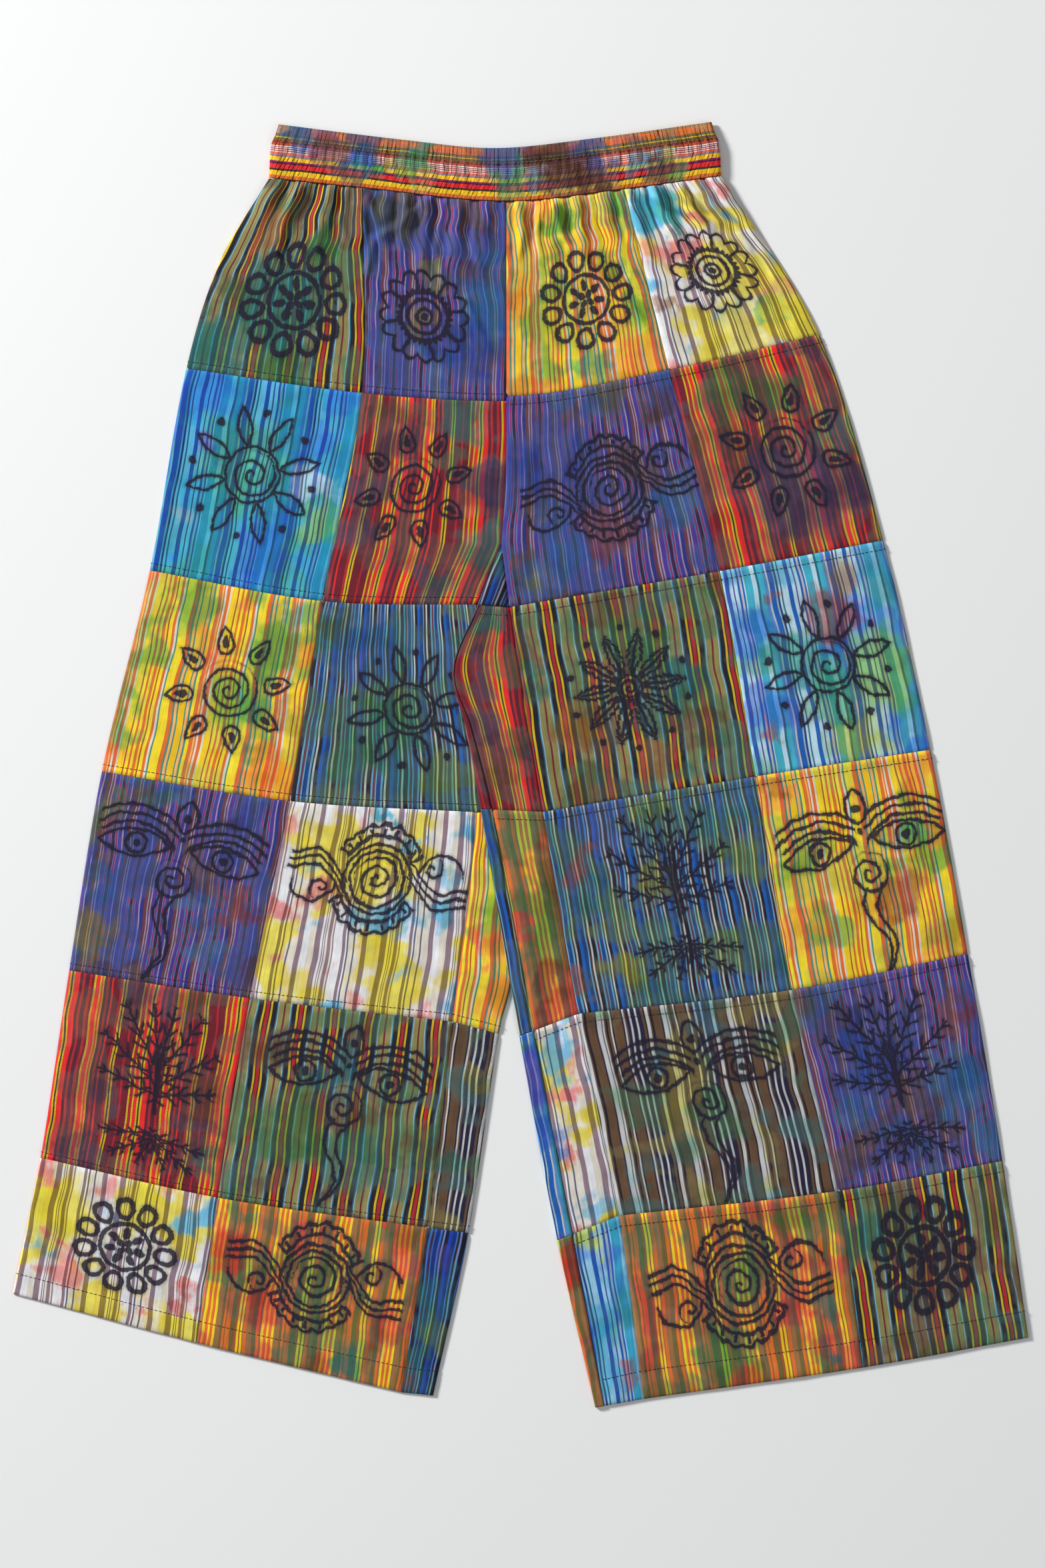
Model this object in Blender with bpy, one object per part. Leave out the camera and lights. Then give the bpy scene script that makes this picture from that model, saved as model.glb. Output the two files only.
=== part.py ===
"""Patchwork trousers with an elastic waist, laid flat with the front up: metres, +Z up, +Y to the waist.

Left and right are those of someone who looks at them with the waist at the top. Each leg is six rows
of patches from the waist seam, line 0, to the hem, line 6. The tables are in millimetres.
"""

import math
from bisect import bisect_right
from collections import namedtuple

import bmesh
import bpy

MM = 0.001

# Cloth: a layer with its turnings, the gap kept at seams, and the heights of the two layers
WALL = 1.0
GAP = 0.3
BACK_TOP = WALL
FRONT_TOP = 2 * WALL + GAP
ROWS = 6
ROW_HEIGHT = 155.0
LINE_INSET = 0.6 * GAP / ROW_HEIGHT

# Seams and edges that run down a leg, in runs that meet at a corner: line, x, y
LEFT = {
    "side": (
        (
            (0.0, -195.5, 456.0),
            (0.4, -233.0, 393.0),
            (1.0, -259.8, 308.2),
            (2.0, -288.3, 151.1),
            (3.0, -325.6, -5.4),
            (4.0, -351.0, -160.0),
            (5.0, -373.3, -305.7),
            (6.0, -395.1, -411.4),
        ),
    ),
    "middle": (
        (
            (0.0, -122.4, 448.3),
            (1.0, -123.4, 289.1),
            (2.0, -154.0, 127.3),
            (3.0, -179.4, -28.3),
            (4.0, -210.5, -181.7),
            (5.0, -235.4, -336.8),
            (6.0, -251.5, -449.8),
        ),
    ),
    "strip": (
        (
            (2.0, -33.4, 124.4),
            (3.0, -34.0, -37.0),
            (4.0, -52.9, -199.9),
            (5.0, -72.6, -360.1),
            (6.0, -92.8, -488.2),
        ),
    ),
    "inner": (
        ((0.0, -10.9, 437.9), (1.0, -10.9, 282.8), (1.4, -11.2, 220.0), (1.7, -14.8, 172.0)),
        ((1.7, -14.8, 172.0), (2.0, -33.4, 124.4)),
        (
            (2.0, -33.4, 124.4),
            (2.3, -27.0, 78.0),
            (3.0, -6.0, -37.0),
            (3.75, -6.6, -164.0),
            (4.0, -16.8, -209.5),
            (5.0, -40.4, -364.2),
            (6.0, -67.9, -490.8),
        ),
    ),
}
RIGHT = {
    "inner": (
        (
            (2.0, -33.4, 124.4),
            (2.31, -53.2, 73.4),
            (2.58, -43.0, 30.5),
            (3.0, -31.1, -34.5),
            (4.0, -1.0, -211.3),
            (5.0, 28.5, -370.0),
            (6.0, 58.1, -500.1),
        ),
    ),
    "strip": (
        ((0.0, -10.9, 437.9), (1.0, -10.9, 287.0), (1.4, -11.2, 220.0), (1.7, -14.8, 172.0)),
        ((1.7, -14.8, 172.0), (2.0, -8.3, 122.6)),
        (
            (2.0, -8.3, 122.6),
            (3.0, 17.6, -36.6),
            (4.0, 45.1, -193.7),
            (5.0, 76.7, -350.8),
            (6.0, 95.9, -493.4),
        ),
    ),
    "middle": (
        (
            (0.0, 80.9, 447.4),
            (1.0, 115.6, 307.2),
            (2.0, 155.0, 150.6),
            (3.0, 183.0, -9.1),
            (4.0, 211.5, -175.0),
            (5.0, 246.8, -331.6),
            (6.0, 266.5, -469.0),
        ),
    ),
    "side": (
        (
            (0.0, 156.1, 457.6),
            (1.0, 232.3, 334.7),
            (2.0, 282.1, 174.5),
            (3.0, 318.9, 11.7),
            (4.0, 347.9, -147.0),
            (5.0, 374.9, -308.2),
            (6.0, 395.1, -445.7),
        ),
    ),
}
GUSSET_TOP_LINE = 1.74

# Width of the right leg's back that rolls round the inside leg to the front: line, width
ROLL = ((2.0, 1.0), (2.31, 1.0), (3.0, 8.4), (4.0, 10.9), (5.0, 11.4), (6.0, 6.7))

# The right leg lies on the left leg's inner edge: it climbs over the edge and comes down beyond it
OVERLAP_CLIMB = FRONT_TOP + GAP
OVERLAP_FLAT = 8.0
OVERLAP_RAMP = 26.0
FRONT_REACH = 5.0
OVERLAP_TOP_Y = 124.0
OVERLAP_FADE_UP = 44.0
OVERLAP_FOOT_Y = -184.0
OVERLAP_FADE_DOWN = 40.0

# Waistband: its top edge, how far each end draws in with the share of its height, and its thickness
BAND_TOP_EDGE = ((-187.7, 498.0), (-90.0, 485.9), (-20.0, 479.6), (53.2, 486.7), (150.9, 500.3))
BAND_END_INSET = ((0.0, 7.6), (0.2, 5.0), (0.4, 1.6), (1.0, 0.0))
BAND_THICK = 2.6
BAND_SEAM_GAP = 0.6  # the plain back patches cut the seam's curve straight between their columns
BAND_FRONT_UNDER = BAND_THICK + GAP
# Heights over the front waistband's level, from its folded top edge, 0, to the waist seam, 1
BAND_SECTION = (
    (0.0, -0.8),
    (0.1, 0.0),
    (0.26, 0.1),
    (0.32, -0.6),
    (0.4, 0.1),
    (0.62, 0.3),
    (0.9, 0.1),
    (1.0, -0.5),
)
BAND_CRIMPS = 44
BAND_CRIMP_HEIGHT = 0.45
POINTS_A_CRIMP = 4

# Gathers under the waistband. Place counts patches from the left side seam, 0, to the right, 4.
Gather = namedtuple("Gather", "place height half_width length lean")
GATHERS = (
    Gather(place=0.12, height=3.2, half_width=0.13, length=80.0, lean=0.00),
    Gather(place=0.36, height=4.6, half_width=0.12, length=105.0, lean=-0.04),
    Gather(place=0.68, height=4.2, half_width=0.12, length=95.0, lean=-0.05),
    Gather(place=0.98, height=3.6, half_width=0.10, length=90.0, lean=0.02),
    Gather(place=1.17, height=3.0, half_width=0.07, length=70.0, lean=-0.03),
    Gather(place=1.31, height=5.6, half_width=0.07, length=62.0, lean=-0.06),
    Gather(place=1.46, height=4.4, half_width=0.08, length=100.0, lean=-0.08),
    Gather(place=1.66, height=3.4, half_width=0.08, length=90.0, lean=-0.05),
    Gather(place=1.86, height=2.8, half_width=0.08, length=60.0, lean=-0.02),
    Gather(place=2.12, height=3.0, half_width=0.08, length=55.0, lean=0.00),
    Gather(place=2.36, height=4.2, half_width=0.08, length=80.0, lean=0.02),
    Gather(place=2.60, height=4.8, half_width=0.08, length=88.0, lean=-0.02),
    Gather(place=2.82, height=4.4, half_width=0.08, length=70.0, lean=0.03),
    Gather(place=3.04, height=3.8, half_width=0.09, length=75.0, lean=0.05),
    Gather(place=3.30, height=5.4, half_width=0.10, length=85.0, lean=0.10),
    Gather(place=3.54, height=5.8, half_width=0.09, length=78.0, lean=0.14),
    Gather(place=3.76, height=4.6, half_width=0.09, length=70.0, lean=0.08),
    Gather(place=3.92, height=2.8, half_width=0.08, length=60.0, lean=0.00),
)
GATHER_RISE = 10.0  # from the seam to a gather's crown
SEAM_LIFT = 1.4  # the front's top edge lies against the thicker waistband
SEAM_LIFT_LENGTH = 30.0
RIPPLES_A_PATCH = 7
RIPPLE_HEIGHT = 0.7
RIPPLE_LENGTH = 30.0

# How finely each kind of piece is divided: cells across, and lines down a row
FRONT_ACROSS = (26, 8, 4, 4, 4, 4)  # of each row
FINE_DOWN = (0.0, 0.05, 0.11, 0.19, 0.3, 0.45, 0.65, 0.82, 1.0)
PLAIN_ACROSS = 4
PLAIN_DOWN = (0.0, 0.2, 0.4, 0.6, 0.8, 1.0)
STRIP_ACROSS = 5
CLIMB_ACROSS = 5
GUSSET_ACROSS = 3
GUSSET_DOWN = 4
BAND_BACK_ACROSS = 24

# Main colour of each handwoven cloth
CLOTHS = {
    "olive": (0.16, 0.15, 0.09),
    "purple": (0.13, 0.07, 0.28),
    "yellow": (0.78, 0.55, 0.07),
    "white": (0.72, 0.68, 0.66),
    "turquoise": (0.05, 0.33, 0.52),
    "red": (0.48, 0.04, 0.05),
    "navy": (0.05, 0.08, 0.22),
    "brown": (0.20, 0.13, 0.09),
    "orange": (0.55, 0.26, 0.08),
    "band": (0.50, 0.19, 0.09),
}
CLOTH_ROUGHNESS = 0.88

# The cloth of each patch, a row for each row of the garment
Front = namedtuple("Front", "left_outer left_inner left_strip right_strip right_inner right_outer")
FRONT_CLOTHS = (
    Front("olive", "purple", None, None, "yellow", "white"),
    Front("turquoise", "red", None, "navy", "purple", "red"),
    Front("yellow", "navy", None, "red", "olive", "turquoise"),
    Front("purple", "white", "yellow", "orange", "navy", "yellow"),
    Front("red", "olive", "brown", "white", "brown", "purple"),
    Front("white", "orange", "navy", "turquoise", "orange", "olive"),
)
Back = namedtuple("Back", "left_outer left_inner right_inner right_outer")
BACK_CLOTHS = (
    Back("yellow", "navy", "olive", "red"),
    Back("white", "olive", "turquoise", "purple"),
    Back("navy", "yellow", "red", "white"),
    Back("red", "turquoise", "navy", "olive"),
    Back("purple", "white", "turquoise", "brown"),
    Back("red", "olive", "orange", "navy"),
)


def clear_scene():
    for obj in list(bpy.data.objects):
        bpy.data.objects.remove(obj, do_unlink=True)


def ease(share):
    """0 to 1 with level ends."""
    share = min(max(share, 0.0), 1.0)
    return share * share * (3.0 - 2.0 * share)


def smooth_curve(places, values, at, level_knot=None, level=0.0):
    """The smooth curve through values at places. Its slope at level_knot is turned level by the share given."""

    def slope(i):
        before, after = max(i - 1, 0), min(i + 1, len(places) - 1)
        found = (values[after] - values[before]) / (places[after] - places[before])
        return found * (1.0 - level) if i == level_knot else found

    i = min(max(bisect_right(places, at) - 1, 0), len(places) - 2)
    span = places[i + 1] - places[i]
    s = (at - places[i]) / span
    start, end = slope(i) * span, slope(i + 1) * span
    return (
        (2 * s**3 - 3 * s**2 + 1) * values[i]
        + (s**3 - 2 * s**2 + s) * start
        + (3 * s**2 - 2 * s**3) * values[i + 1]
        + (s**3 - s**2) * end
    )


def table_curve(table, at):
    """The smooth curve through a table of place and value."""
    return smooth_curve([row[0] for row in table], [row[1] for row in table], at)


def edge(leg, name, line):
    """Where a leg's seam or edge crosses a line, as x and y."""
    run = next(run for run in leg[name] if line <= run[-1][0] or run is leg[name][-1])
    lines = [row[0] for row in run]
    return (
        smooth_curve(lines, [row[1] for row in run], line),
        smooth_curve(lines, [row[2] for row in run], line),
    )


def left_y(x, line):
    """Height of a line at x on the left leg: smooth to the strip, then straight to the inner edge."""
    inner = edge(LEFT, "inner", line)
    last = edge(LEFT, "strip", line) if line > 2.0 else inner
    if x > last[0]:
        return last[1] + (inner[1] - last[1]) * (x - last[0]) / max(inner[0] - last[0], GAP)
    knots = (edge(LEFT, "side", line), edge(LEFT, "middle", line), last)
    return line_y(knots, x, line, centre=2)


def right_y(x, line):
    """Height of a line at x on the right leg: straight from the inner edge to the strip, then smooth."""
    first = edge(RIGHT, "strip", line)
    if x < first[0]:
        inner = edge(RIGHT, "inner", line) if line > 2.0 else edge(LEFT, "inner", line)
        return first[1] + (inner[1] - first[1]) * (first[0] - x) / max(first[0] - inner[0], GAP)
    knots = (first, edge(RIGHT, "middle", line), edge(RIGHT, "side", line))
    return line_y(knots, x, line, centre=0)


def line_y(knots, x, line, centre):
    """A line's height at x. It is level at the centre while the two legs are still one, above line 1."""
    places = [knot[0] for knot in knots]
    heights = [knot[1] for knot in knots]
    return smooth_curve(places, heights, x, centre, 1.0 - ease(line - 1.0))


def overlap_lift(x, y, reach=0.0):
    """How far the right leg is raised where it lies on the left leg's inner edge."""
    covered = LEFT["inner"][-1]
    falls = [-row[2] for row in covered]
    hidden = smooth_curve(falls, [row[1] for row in covered], min(max(-y, falls[0]), falls[-1]))
    down = 1.0 - ease((x - hidden - OVERLAP_FLAT - reach) / OVERLAP_RAMP)
    above = 1.0 - ease((y - OVERLAP_TOP_Y - reach) / OVERLAP_FADE_UP)
    below = 1.0 - ease((OVERLAP_FOOT_Y - reach - y) / OVERLAP_FADE_DOWN)
    return OVERLAP_CLIMB * down * above * below


def gather_height(place, fall):
    """Height of the gathers at a place across the front and a fall in millimetres from the waist seam."""
    height = SEAM_LIFT * (1.0 - ease(fall / SEAM_LIFT_LENGTH))
    for gather in GATHERS:
        middle = gather.place + gather.lean * fall / gather.length
        across = 1.0 - ease(abs(place - middle) / gather.half_width)
        crown = 0.45 + 0.55 * ease(fall / GATHER_RISE)
        height += gather.height * across * crown * (1.0 - ease(fall / gather.length))
    ripple = 0.5 + 0.5 * math.cos(2.0 * math.pi * RIPPLES_A_PATCH * place)
    return height + RIPPLE_HEIGHT * ripple * (1.0 - ease(fall / RIPPLE_LENGTH))


def cloth_material(cloth):
    name = "cloth_" + cloth
    if name in bpy.data.materials:
        return bpy.data.materials[name]
    material = bpy.data.materials.new(name)
    material.use_nodes = True
    shader = material.node_tree.nodes["Principled BSDF"]
    shader.inputs["Base Color"].default_value = (*CLOTHS[cloth], 1.0)
    shader.inputs["Roughness"].default_value = CLOTH_ROUGHNESS
    shader.inputs["Metallic"].default_value = 0.0
    return material


def wall(name, cloth, top, under):
    """A closed wall from a grid of top points, in millimetres, down to under(x, y)."""
    built = bmesh.new()
    grid = [[built.verts.new((x * MM, y * MM, z * MM)) for x, y, z in row] for row in top]
    for upper, lower in zip(grid, grid[1:]):
        for i in range(len(upper) - 1):
            built.faces.new((upper[i], lower[i], lower[i + 1], upper[i + 1]))
    made = bmesh.ops.extrude_face_region(built, geom=built.faces[:])
    for vert in made["geom"]:
        if isinstance(vert, bmesh.types.BMVert):
            vert.co.z = under(vert.co.x / MM, vert.co.y / MM, vert.co.z / MM) * MM
    bmesh.ops.recalc_face_normals(built, faces=built.faces[:])
    mesh = bpy.data.meshes.new(name)
    built.to_mesh(mesh)
    built.free()
    mesh.materials.append(cloth_material(cloth))
    obj = bpy.data.objects.new(name, mesh)
    bpy.context.scene.collection.objects.link(obj)
    return obj


def lines_of(row, down):
    """The lines of a row, drawn in by half the seam gap at both ends."""
    return [row + LINE_INSET + share * (1.0 - 2.0 * LINE_INSET) for share in down]


def between(first, last, count):
    return [first + (last - first) * i / count for i in range(count + 1)]


def front_lift(x, y):
    return overlap_lift(x, y, FRONT_REACH)


def front_patch(name, cloth, row, leg_y, limits, first_place=None, climbs=False):
    """A front patch between the two edges that limits(line) gives. The first row's are gathered."""
    across = max(FRONT_ACROSS[row], STRIP_ACROSS) if climbs else FRONT_ACROSS[row]
    top = []
    for line in lines_of(row, FINE_DOWN if row == 0 else PLAIN_DOWN):
        first, last = limits(line)
        points = []
        for i, x in enumerate(between(first + GAP / 2, last - GAP / 2, across)):
            y = leg_y(x, line)
            z = FRONT_TOP
            if row == 0:
                z += gather_height(first_place + i / across, max(leg_y(x, 0.0) - y, 0.0))
            if climbs:
                z += front_lift(x, y)
            points.append((x, y, z))
        top.append(points)
    wall(name, cloth, top, lambda x, y, z: z - WALL)


def left_front(row):
    """One row of the left leg's front: two patches, and the strip where it shows."""
    cloths = FRONT_CLOTHS[row]
    inner_name = "inner" if row < 3 else "strip"
    patches = [
        ("outer", "side", "middle", 0),
        ("inner", "middle", inner_name, 1),
    ]
    if cloths.left_strip:
        patches.append(("strip", "strip", "inner", None))
    for column, first, last, place in patches:
        front_patch(
            f"front_left_row{row + 1}_{column}",
            getattr(cloths, f"left_{column}"),
            row,
            left_y,
            lambda line: (edge(LEFT, first, line)[0], edge(LEFT, last, line)[0]),
            place,
        )


def right_front(row):
    """One row of the right leg's front: two patches, and from row 3 the strip beside the rolled back."""
    cloths = FRONT_CLOTHS[row]
    patches = [
        ("inner", "strip", "middle", 0.0, 2, 1 <= row <= 3),
        ("outer", "middle", "side", 0.0, 3, False),
    ]
    if row >= 2:
        patches.append(("strip", "inner", "strip", 1.0, None, True))
    for column, first, last, rolled, place, climbs in patches:
        front_patch(
            f"front_right_row{row + 1}_{column}",
            getattr(cloths, f"right_{column}"),
            row,
            right_y,
            lambda line: (
                edge(RIGHT, first, line)[0] + rolled * (roll_width(line) + GAP / 2),
                edge(RIGHT, last, line)[0],
            ),
            place,
            climbs,
        )


def roll_width(line):
    return table_curve(ROLL, line)


def gusset():
    """The wedge of striped cloth between the legs' inner patches at the crotch."""
    top = []
    for line in between(GUSSET_TOP_LINE, 2.0 - LINE_INSET, GUSSET_DOWN):
        first, last = edge(LEFT, "inner", line), edge(RIGHT, "strip", line)
        points = []
        for x in between(first[0] + GAP, last[0] - GAP, GUSSET_ACROSS):
            y = right_y(x, line)
            points.append((x, y, FRONT_TOP + front_lift(x, y)))
        top.append(points)
    wall("front_right_row2_gusset", FRONT_CLOTHS[1].right_strip, top, lambda x, y, z: z - WALL)


def plain_back(name, cloth, row, leg_y, limits):
    """A flat back patch between the two edges that limits(line) gives."""
    top = []
    for line in lines_of(row, PLAIN_DOWN):
        first, last = limits(line)
        stops = between(first + GAP / 2, last - GAP / 2, PLAIN_ACROSS)
        top.append([(x, leg_y(x, line), BACK_TOP) for x in stops])
    wall(name, cloth, top, lambda x, y, z: 0.0)


def right_inner_back(row):
    """The right leg's inner back patch, which climbs over the left leg. From row 3 its edge rolls to the front."""
    rolled = row >= 2
    top = []
    for line in lines_of(row, PLAIN_DOWN):
        first = edge(RIGHT, "inner", line)[0] if rolled else edge(LEFT, "inner", line)[0] + GAP / 2
        landed = edge(RIGHT, "strip", line)[0] + OVERLAP_RAMP / 2
        middle = edge(RIGHT, "middle", line)[0] - GAP / 2
        seam = first + roll_width(line) if rolled else first
        stops = between(seam + rolled * GAP / 4, landed, CLIMB_ACROSS) + between(landed, middle, 2)[1:]
        heights = [BACK_TOP] * len(stops)
        if rolled:
            stops = [first, seam - GAP / 4] + stops
            heights = [FRONT_TOP, FRONT_TOP] + heights
        points = []
        for x, height in zip(stops, heights):
            y = right_y(x, line)
            points.append((x, y, height + overlap_lift(x, y)))
        top.append(points)
    name = f"back_right_row{row + 1}_inner"
    wall(name, BACK_CLOTHS[row].right_inner, top, lambda x, y, z: overlap_lift(x, y))


def back(row):
    """One row of the back."""
    cloths = BACK_CLOTHS[row]
    plain = (
        ("left", "outer", left_y, LEFT, "side", "middle"),
        ("left", "inner", left_y, LEFT, "middle", "inner"),
        ("right", "outer", right_y, RIGHT, "middle", "side"),
    )
    for side, column, leg_y, leg, first, last in plain:
        plain_back(
            f"back_{side}_row{row + 1}_{column}",
            getattr(cloths, f"{side}_{column}"),
            row,
            leg_y,
            lambda line: (edge(leg, first, line)[0], edge(leg, last, line)[0]),
        )
    right_inner_back(row)


def waistband(name, front):
    """Half of the waistband, between its bowed top edge and the waist seam. The front is crimped."""
    count = BAND_CRIMPS * POINTS_A_CRIMP if front else BAND_BACK_ACROSS
    left_end, right_end = edge(LEFT, "side", 0.0)[0], edge(RIGHT, "side", 0.0)[0]
    centre = edge(LEFT, "inner", 0.0)[0]
    level = BAND_FRONT_UNDER + BAND_THICK if front else BAND_THICK
    top = []
    for share, dip in BAND_SECTION:
        inset = table_curve(BAND_END_INSET, share)
        points = []
        for i in range(count + 1):
            x = left_end + inset + (right_end - left_end - 2 * inset) * i / count
            low = (left_y if x < centre else right_y)(x, 0.0) + BAND_SEAM_GAP
            y = low + (table_curve(BAND_TOP_EDGE, x) - low) * (1.0 - share)
            z = level
            if front:
                crimp = math.cos(2.0 * math.pi * i / POINTS_A_CRIMP)
                z += dip + BAND_CRIMP_HEIGHT * crimp * math.sin(math.pi * min(max(share, 0.1), 0.9))
            points.append((x, y, z))
        top.append(points)
    if not front:
        top = [top[0], top[len(top) // 2], top[-1]]
    wall(name, "band", top, lambda x, y, z: BAND_FRONT_UNDER if front else 0.0)


def build():
    clear_scene()
    waistband("waistband_front", True)
    waistband("waistband_back", False)
    for row in range(ROWS):
        left_front(row)
        right_front(row)
        back(row)
    gusset()


build()
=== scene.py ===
# Patchwork pants laid flat with the front up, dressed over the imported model.
# Tables and heights are in millimetres; left and right are the viewer's.
import bisect
import math

import bmesh
import bpy
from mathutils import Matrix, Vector, noise


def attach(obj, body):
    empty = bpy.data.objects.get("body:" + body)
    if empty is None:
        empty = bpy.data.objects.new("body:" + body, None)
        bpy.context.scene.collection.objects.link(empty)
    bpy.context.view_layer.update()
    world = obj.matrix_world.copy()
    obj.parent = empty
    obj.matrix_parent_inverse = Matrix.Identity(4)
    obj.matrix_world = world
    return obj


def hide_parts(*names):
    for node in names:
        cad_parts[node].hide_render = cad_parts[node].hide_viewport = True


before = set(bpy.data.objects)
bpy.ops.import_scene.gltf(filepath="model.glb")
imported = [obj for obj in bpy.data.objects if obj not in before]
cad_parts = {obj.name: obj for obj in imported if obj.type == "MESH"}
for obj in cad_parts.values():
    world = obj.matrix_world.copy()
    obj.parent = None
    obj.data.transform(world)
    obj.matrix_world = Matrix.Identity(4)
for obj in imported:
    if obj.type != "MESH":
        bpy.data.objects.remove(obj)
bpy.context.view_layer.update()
mm = 0.001
print("frame loaded:", len(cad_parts), "nodes")


# camera, floor and light

studio = {
    "imageSize": (1568, 2353),
    "mmPerPixel": 0.5185,
    "viewCentre": (1.6, -15.0),
    "cameraHeight": 6000.0,
    "sensorHeight": 24.0,
    "floorSize": 12.0,
    "floorLevel": -0.2,
    "floorColour": (0.86, 0.86, 0.85, 1.0),
    "worldColour": (0.93, 0.96, 1.0, 1.0),
    "worldStrength": 0.30,
}
studioLights = (
    # name, place, size, watts
    ("key", (-4.2, 2.7, 2.3), 1.1, 420.0),
    ("fill", (2.2, -1.4, 3.0), 2.2, 16.0),
)


def newMaterial(name):
    material = bpy.data.materials.new(name)
    material.use_nodes = True
    return material, material.node_tree.nodes["Principled BSDF"]


def buildStudio():
    data = bpy.data.cameras.new("camera")
    camera = bpy.data.objects.new("camera", data)
    bpy.context.scene.collection.objects.link(camera)
    frameHeight = studio["imageSize"][1] * studio["mmPerPixel"]
    data.sensor_fit = "VERTICAL"
    data.sensor_height = studio["sensorHeight"]
    data.lens = studio["sensorHeight"] * studio["cameraHeight"] / frameHeight
    data.clip_end = 100.0
    x, y = studio["viewCentre"]
    camera.location = Vector((x, y, studio["cameraHeight"])) * mm
    bpy.context.scene.camera = camera

    for name, place, size, watts in studioLights:
        lamp = bpy.data.lights.new(name, "AREA")
        lamp.shape = "DISK"
        lamp.size = size
        lamp.energy = watts
        light = bpy.data.objects.new(name, lamp)
        light.location = place
        light.rotation_euler = (-Vector(place)).to_track_quat("-Z", "Y").to_euler()
        bpy.context.scene.collection.objects.link(light)

    world = bpy.data.worlds.new("studio")
    world.use_nodes = True
    backdrop = world.node_tree.nodes["Background"]
    backdrop.inputs["Color"].default_value = studio["worldColour"]
    backdrop.inputs["Strength"].default_value = studio["worldStrength"]
    bpy.context.scene.world = world
    bpy.context.scene.view_settings.view_transform = "Standard"

    half = studio["floorSize"] / 2
    mesh = bpy.data.meshes.new("floor")
    corners = [(-half, -half, 0.0), (half, -half, 0.0), (half, half, 0.0), (-half, half, 0.0)]
    mesh.from_pydata(corners, [], [(0, 1, 2, 3)])
    floor = bpy.data.objects.new("floor", mesh)
    floor.location.z = studio["floorLevel"] * mm
    bpy.context.scene.collection.objects.link(floor)
    paper, shader = newMaterial("floorPaper")
    shader.inputs["Base Color"].default_value = studio["floorColour"]
    shader.inputs["Roughness"].default_value = 0.95
    mesh.materials.append(paper)


buildStudio()
print("studio ready")


# seams and edges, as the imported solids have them: line (0 waist seam to 6 hem), x, y

leftEdges = {
    "side": (
        (
            (0.0, -195.5, 456.0), (0.4, -233.0, 393.0), (1.0, -259.8, 308.2), (2.0, -288.3, 151.1),
            (3.0, -325.6, -5.4), (4.0, -351.0, -160.0), (5.0, -373.3, -305.7), (6.0, -395.1, -411.4),
        ),
    ),
    "middle": (
        (
            (0.0, -122.4, 448.3), (1.0, -123.4, 289.1), (2.0, -154.0, 127.3), (3.0, -179.4, -28.3),
            (4.0, -210.5, -181.7), (5.0, -235.4, -336.8), (6.0, -251.5, -449.8),
        ),
    ),
    "strip": (
        (
            (2.0, -33.4, 124.4), (3.0, -34.0, -37.0), (4.0, -52.9, -199.9), (5.0, -72.6, -360.1),
            (6.0, -92.8, -488.2),
        ),
    ),
    "inner": (
        ((0.0, -10.9, 437.9), (1.0, -10.9, 282.8), (1.4, -11.2, 220.0), (1.7, -14.8, 172.0)),
        ((1.7, -14.8, 172.0), (2.0, -33.4, 124.4)),
        (
            (2.0, -33.4, 124.4), (2.3, -27.0, 78.0), (3.0, -6.0, -37.0), (3.75, -6.6, -164.0),
            (4.0, -16.8, -209.5), (5.0, -40.4, -364.2), (6.0, -67.9, -490.8),
        ),
    ),
}
rightEdges = {
    "inner": (
        (
            (2.0, -33.4, 124.4), (2.31, -53.2, 73.4), (2.58, -43.0, 30.5), (3.0, -31.1, -34.5),
            (4.0, -1.0, -211.3), (5.0, 28.5, -370.0), (6.0, 58.1, -500.1),
        ),
    ),
    "strip": (
        ((0.0, -10.9, 437.9), (1.0, -10.9, 287.0), (1.4, -11.2, 220.0), (1.7, -14.8, 172.0)),
        ((1.7, -14.8, 172.0), (2.0, -8.3, 122.6)),
        (
            (2.0, -8.3, 122.6), (3.0, 17.6, -36.6), (4.0, 45.1, -193.7), (5.0, 76.7, -350.8),
            (6.0, 95.9, -493.4),
        ),
    ),
    "middle": (
        (
            (0.0, 80.9, 447.4), (1.0, 115.6, 307.2), (2.0, 155.0, 150.6), (3.0, 183.0, -9.1),
            (4.0, 211.5, -175.0), (5.0, 246.8, -331.6), (6.0, 266.5, -469.0),
        ),
    ),
    "side": (
        (
            (0.0, 156.1, 457.6), (1.0, 232.3, 334.7), (2.0, 282.1, 174.5), (3.0, 318.9, 11.7),
            (4.0, 347.9, -147.0), (5.0, 374.9, -308.2), (6.0, 395.1, -445.7),
        ),
    ),
}
rollWidths = ((2.0, 1.0), (2.31, 1.0), (3.0, 8.4), (4.0, 10.9), (5.0, 11.4), (6.0, 6.7))
layers = {
    "cloth": 0.7,
    "gap": 0.3,
    "frontTop": 2.3,
    "rowHeight": 155.0,
    "footHeight": 118.0,
    "climb": 2.6,
    "climbFlat": 8.0,
    "climbRamp": 26.0,
    "climbReach": 5.0,
    "climbTopY": 124.0,
    "climbFadeUp": 44.0,
    "climbFootY": -184.0,
    "climbFadeDown": 40.0,
}
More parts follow.
